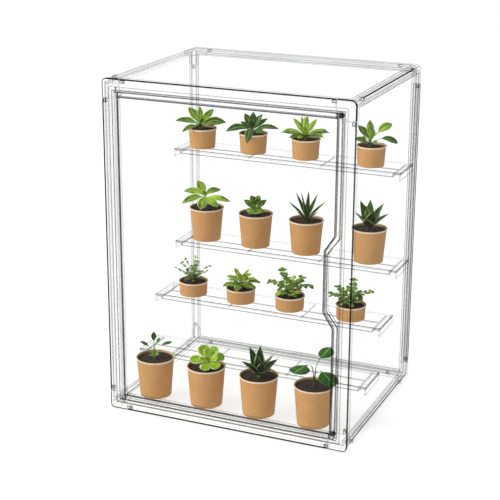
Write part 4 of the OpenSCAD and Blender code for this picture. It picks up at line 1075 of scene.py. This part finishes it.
plant("broad_agave", 1, 3, crown(3, 5, 3), [(SPIKE, [
    (6, 1, 38, 12, 50, 50),
    (11, 1, 42, 12, 40, 40),
    (8, 1, 32, 12, 40, 42),
    (1, 1, 36, 11, 44, 42),
    (4, 2, 46, 12, 64, 64),
    (0, 2, 46, 12, 58, 58),
    (9, 2, 36, 12, 62, 64),
    (2, 3, 44, 11, 82, 82, 1),
    (7, 3, 38, 10, 76, 78, 1)
])], [agave_mat, middle, agave_mat], "spike", aside=-1, broad=1.15)
plant("wispy_thyme", 2, 0, crown(2.5, 3.6, 2), [(SPIKE, [
    (1, 1, 14, 4, 56, 40, 1),
    (9, 1, 12, 4, 50, 35, 1),
    (5, 1, 13, 4, 56, 36, 1)
])], [herb, grey_green, brown_stem], "thin", stalks=[
    (0, 1, 42, 58, 18),
    (2, 1, 40, 58, 34),
    (4, 1, 43, 56, 24),
    (6, 1, 44, 54, 26),
    (8, 1, 38, 55, 24),
    (10, 1, 44, 51, 22),
    (1, 2, 45, 93, 75),
    (5, 2, 43, 84, 57),
    (9, 2, 40, 76, 54)
], small=(7, 3.1), mound=dict(wide=13, low=5, high=30, count=26, size=(7, 3.4)))
plant("frilly_rosette", 2, 1, crown(3, 4.6, 3), [(STALKED, [
    *[(i, 1, 37 - 2 * (i % 4), 9, 50, -24, 1) for i in range(0, 11, 2)],
    *[(i, 2, 33 - i % 3, 8.5, 68, 4) for i in range(1, 12, 2)],
    *[(i, 3, 31, 8, 84, 44) for i in range(0, 9, 4)]
])], [lime, bright, green_stem], "thin",
    mound=dict(wide=15, low=5, high=25, count=44, size=(9, 5.5), style="frill"))
plant("bushy_basil", 2, 2, crown(2.5, 3.8, 3), [(ROUND, [
    (7, 1, 23, 13, 46, 6, 1),
    (9, 1, 20, 12, 40, 0, 1),
    (3, 1, 20, 12, 56, 20, 1),
    (8, 3, 17, 11, 72, 40, 1),
    (1, 3, 18, 11, 76, 46, 1)
])], [herb, lime, brown_stem], "thin", stalks=[
    (5, 1, 46, 64, -10),
    (11, 1, 45, 60, -8),
    (1, 1, 42, 60, 10),
    (4, 3, 44, 90, 46),
    (10, 3, 37, 76, 30)
], small=(13, 6.3), mound=dict(wide=16, low=6, high=34, count=26, size=(12, 6.5)))
plant("bushy_mint", 2, 3, crown(2.5, 3.8, 3), [(ROUND, [
    (8, 1, 21, 12, 42, 4, 1),
    (10, 1, 22, 12, 44, 8, 1),
    (2, 1, 20, 12, 56, 20, 1),
    (7, 3, 17, 11, 72, 42, 1),
    (11, 3, 18, 11, 70, 40, 1)
])], [herb, bright, brown_stem], "thin", stalks=[
    (6, 1, 43, 62, -6),
    (0, 1, 44, 60, -6),
    (4, 1, 40, 62, 14),
    (2, 3, 41, 70, 38),
    (9, 3, 37, 70, 27)
], small=(12, 5.7), mound=dict(wide=16, low=6, high=32, count=26, size=(11, 6)))
plant("olive_sprig", 3, 0, [
    (0, 2.4), (2, 2.8), (4.4, 2.4), (14, 1.7), (16.4, 1.8), (18.8, 1.8), (21.2, 1.6), (23.6, 1.4)
], [(SPIKE, [
    (5, 1, 17, 4, 64, 50, 1),
    (7, 1, 14, 4, 40, 24, 1),
    (10, 1, 16, 4, 46, 30, 1),
    (0, 1, 15, 4, 60, 44, 1),
]), (STALKED, [
    (5, 3, 29, 7.5, 40, 20),
    (0, 4, 34, 8.5, 32, 8),
    (1, 5, 20, 6, 54, 46),
    (3, 6, 27, 8, 88, 84)
])], [deep, jade, green_stem], "thin", aside=-2)
plant("jade_rosette", 3, 1, crown(9, 4.4, 3), [(ROUND, [
    (6, 1, 31, 16, 30, -2),
    (0, 1, 27, 16, 34, 0),
    (8, 1, 22, 15, 4, -30),
    (10, 1, 22, 15, 6, -26),
    (4, 2, 28, 18, 62, 44),
    (1, 2, 26, 16, 60, 44),
    (7, 2, 17, 12, 36, 14),
    (11, 2, 17, 12, 38, 18),
    (3, 3, 18, 12, 84, 74),
    (8, 3, 12, 10, 54, 40)
])], [jade, green_stem], "fleshy", aside=4)
plant("dark_haworthia", 3, 2, crown(3, 5, 3), [(SPIKE, [
    (6, 1, 39, 11, 46, 42),
    (8, 1, 24, 11, 26, 34),
    (10, 1, 32, 10, 34, 34),
    (0, 1, 39, 11, 40, 36),
    (2, 1, 36, 11, 50, 46),
    (4, 2, 46, 11, 64, 62),
    (11, 2, 44, 11, 58, 56),
    (7, 2, 34, 8.5, 50, 52),
    (9, 2, 28, 8.5, 58, 62),
    (2, 3, 45, 10, 80, 82),
    (8, 3, 34, 9, 74, 80)
])], [dusky, green_stem], "spike", broad=1.28)
plant("coin_leaf_plant", 3, 3, crown(3, 3, 4), [(coin(0.60), [
    (7, 3, 80, 34, 88, -8),
]), (coin(0.62), [
    (1, 4, 68, 29, 84, 30),
]), (coin(0.53), [
    (10, 2, 72, 35, 88, -26)
])], [coin_mat, jade, brown_stem], "coin")


# Floor and light

# Half the floor's width, and its distance below the case's base
FLOOR_HALF = 80.0
FLOOR_GAP = 0.0004
# The sky darkens towards this direction, from the first to the second strength
SKY_AWAY = (0.85, 0.45, 0.0)
SKY_STRENGTH = (0.92, 0.26)


def floor_material():
    """An evenly lit floor, kept just at white."""
    t = Tree("studio_floor")
    soft = t.noise(1.5, 2.0)
    base = t.mix(t.ramp(soft, 0.3, 0.7), (0.44, 0.443, 0.44), (0.46, 0.463, 0.457))
    shader = t.principled(Base_Color=base, Roughness=0.5, Specular_IOR_Level=0.2,
                          Emission_Color=(0.99, 0.985, 1.0, 1), Emission_Strength=0.68)
    return t.finish(shader.outputs[0])


floor_mesh = bpy.data.meshes.new("studio_floor")
corners = [(x * FLOOR_HALF, y * FLOOR_HALF, 0) for x, y in ((-1, -1), (1, -1), (1, 1), (-1, 1))]
floor_mesh.from_pydata(corners, [], [(0, 1, 2, 3)])
floor_mesh.materials.append(floor_material())
floor = bpy.data.objects.new("studio_floor", floor_mesh)
floor.location.z = cad_low.z - FLOOR_GAP
scene.collection.objects.link(floor)
floor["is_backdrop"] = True

world = bpy.data.worlds.new("studio")
world.use_nodes = True
scene.world = world
background = world.node_tree.nodes["Background"]
sky = Tree(world)
direction = sky.node("ShaderNodeTexCoord").outputs["Generated"]
away = sky.node("ShaderNodeVectorMath", operation="DOT_PRODUCT")
sky.link(direction, away.inputs[0])
away.inputs[1].default_value = SKY_AWAY
shade = sky.ramp(away.outputs["Value"], -0.7, 0.9, *SKY_STRENGTH)
sky.link(shade, background.inputs["Strength"])
background.inputs["Color"].default_value = (1.0, 1.0, 0.99, 1)


def area_light(name, at, target, size, power, colour=(1, 1, 1)):
    """A lamp at a place, turned to a target. Size is in metres and power in watts."""
    data = bpy.data.lights.new(name, "AREA")
    data.shape = "RECTANGLE"
    data.size, data.size_y = size
    data.energy = power
    data.color = colour
    light = bpy.data.objects.new(name, data)
    at = Vector(at)
    light.location = at
    light.rotation_euler = (Vector(target) - at).to_track_quat("-Z", "Y").to_euler()
    scene.collection.objects.link(light)


area_light("key", (-5.2, -4.68, 4.72), (0, 0, 0.3), (3.1, 3.1), 405, (1.0, 0.98, 0.95))
area_light("fill", (1.8, -2.4, 1.2), (0, 0, 0.3), (1.5, 1.5), 3)

low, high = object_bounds()
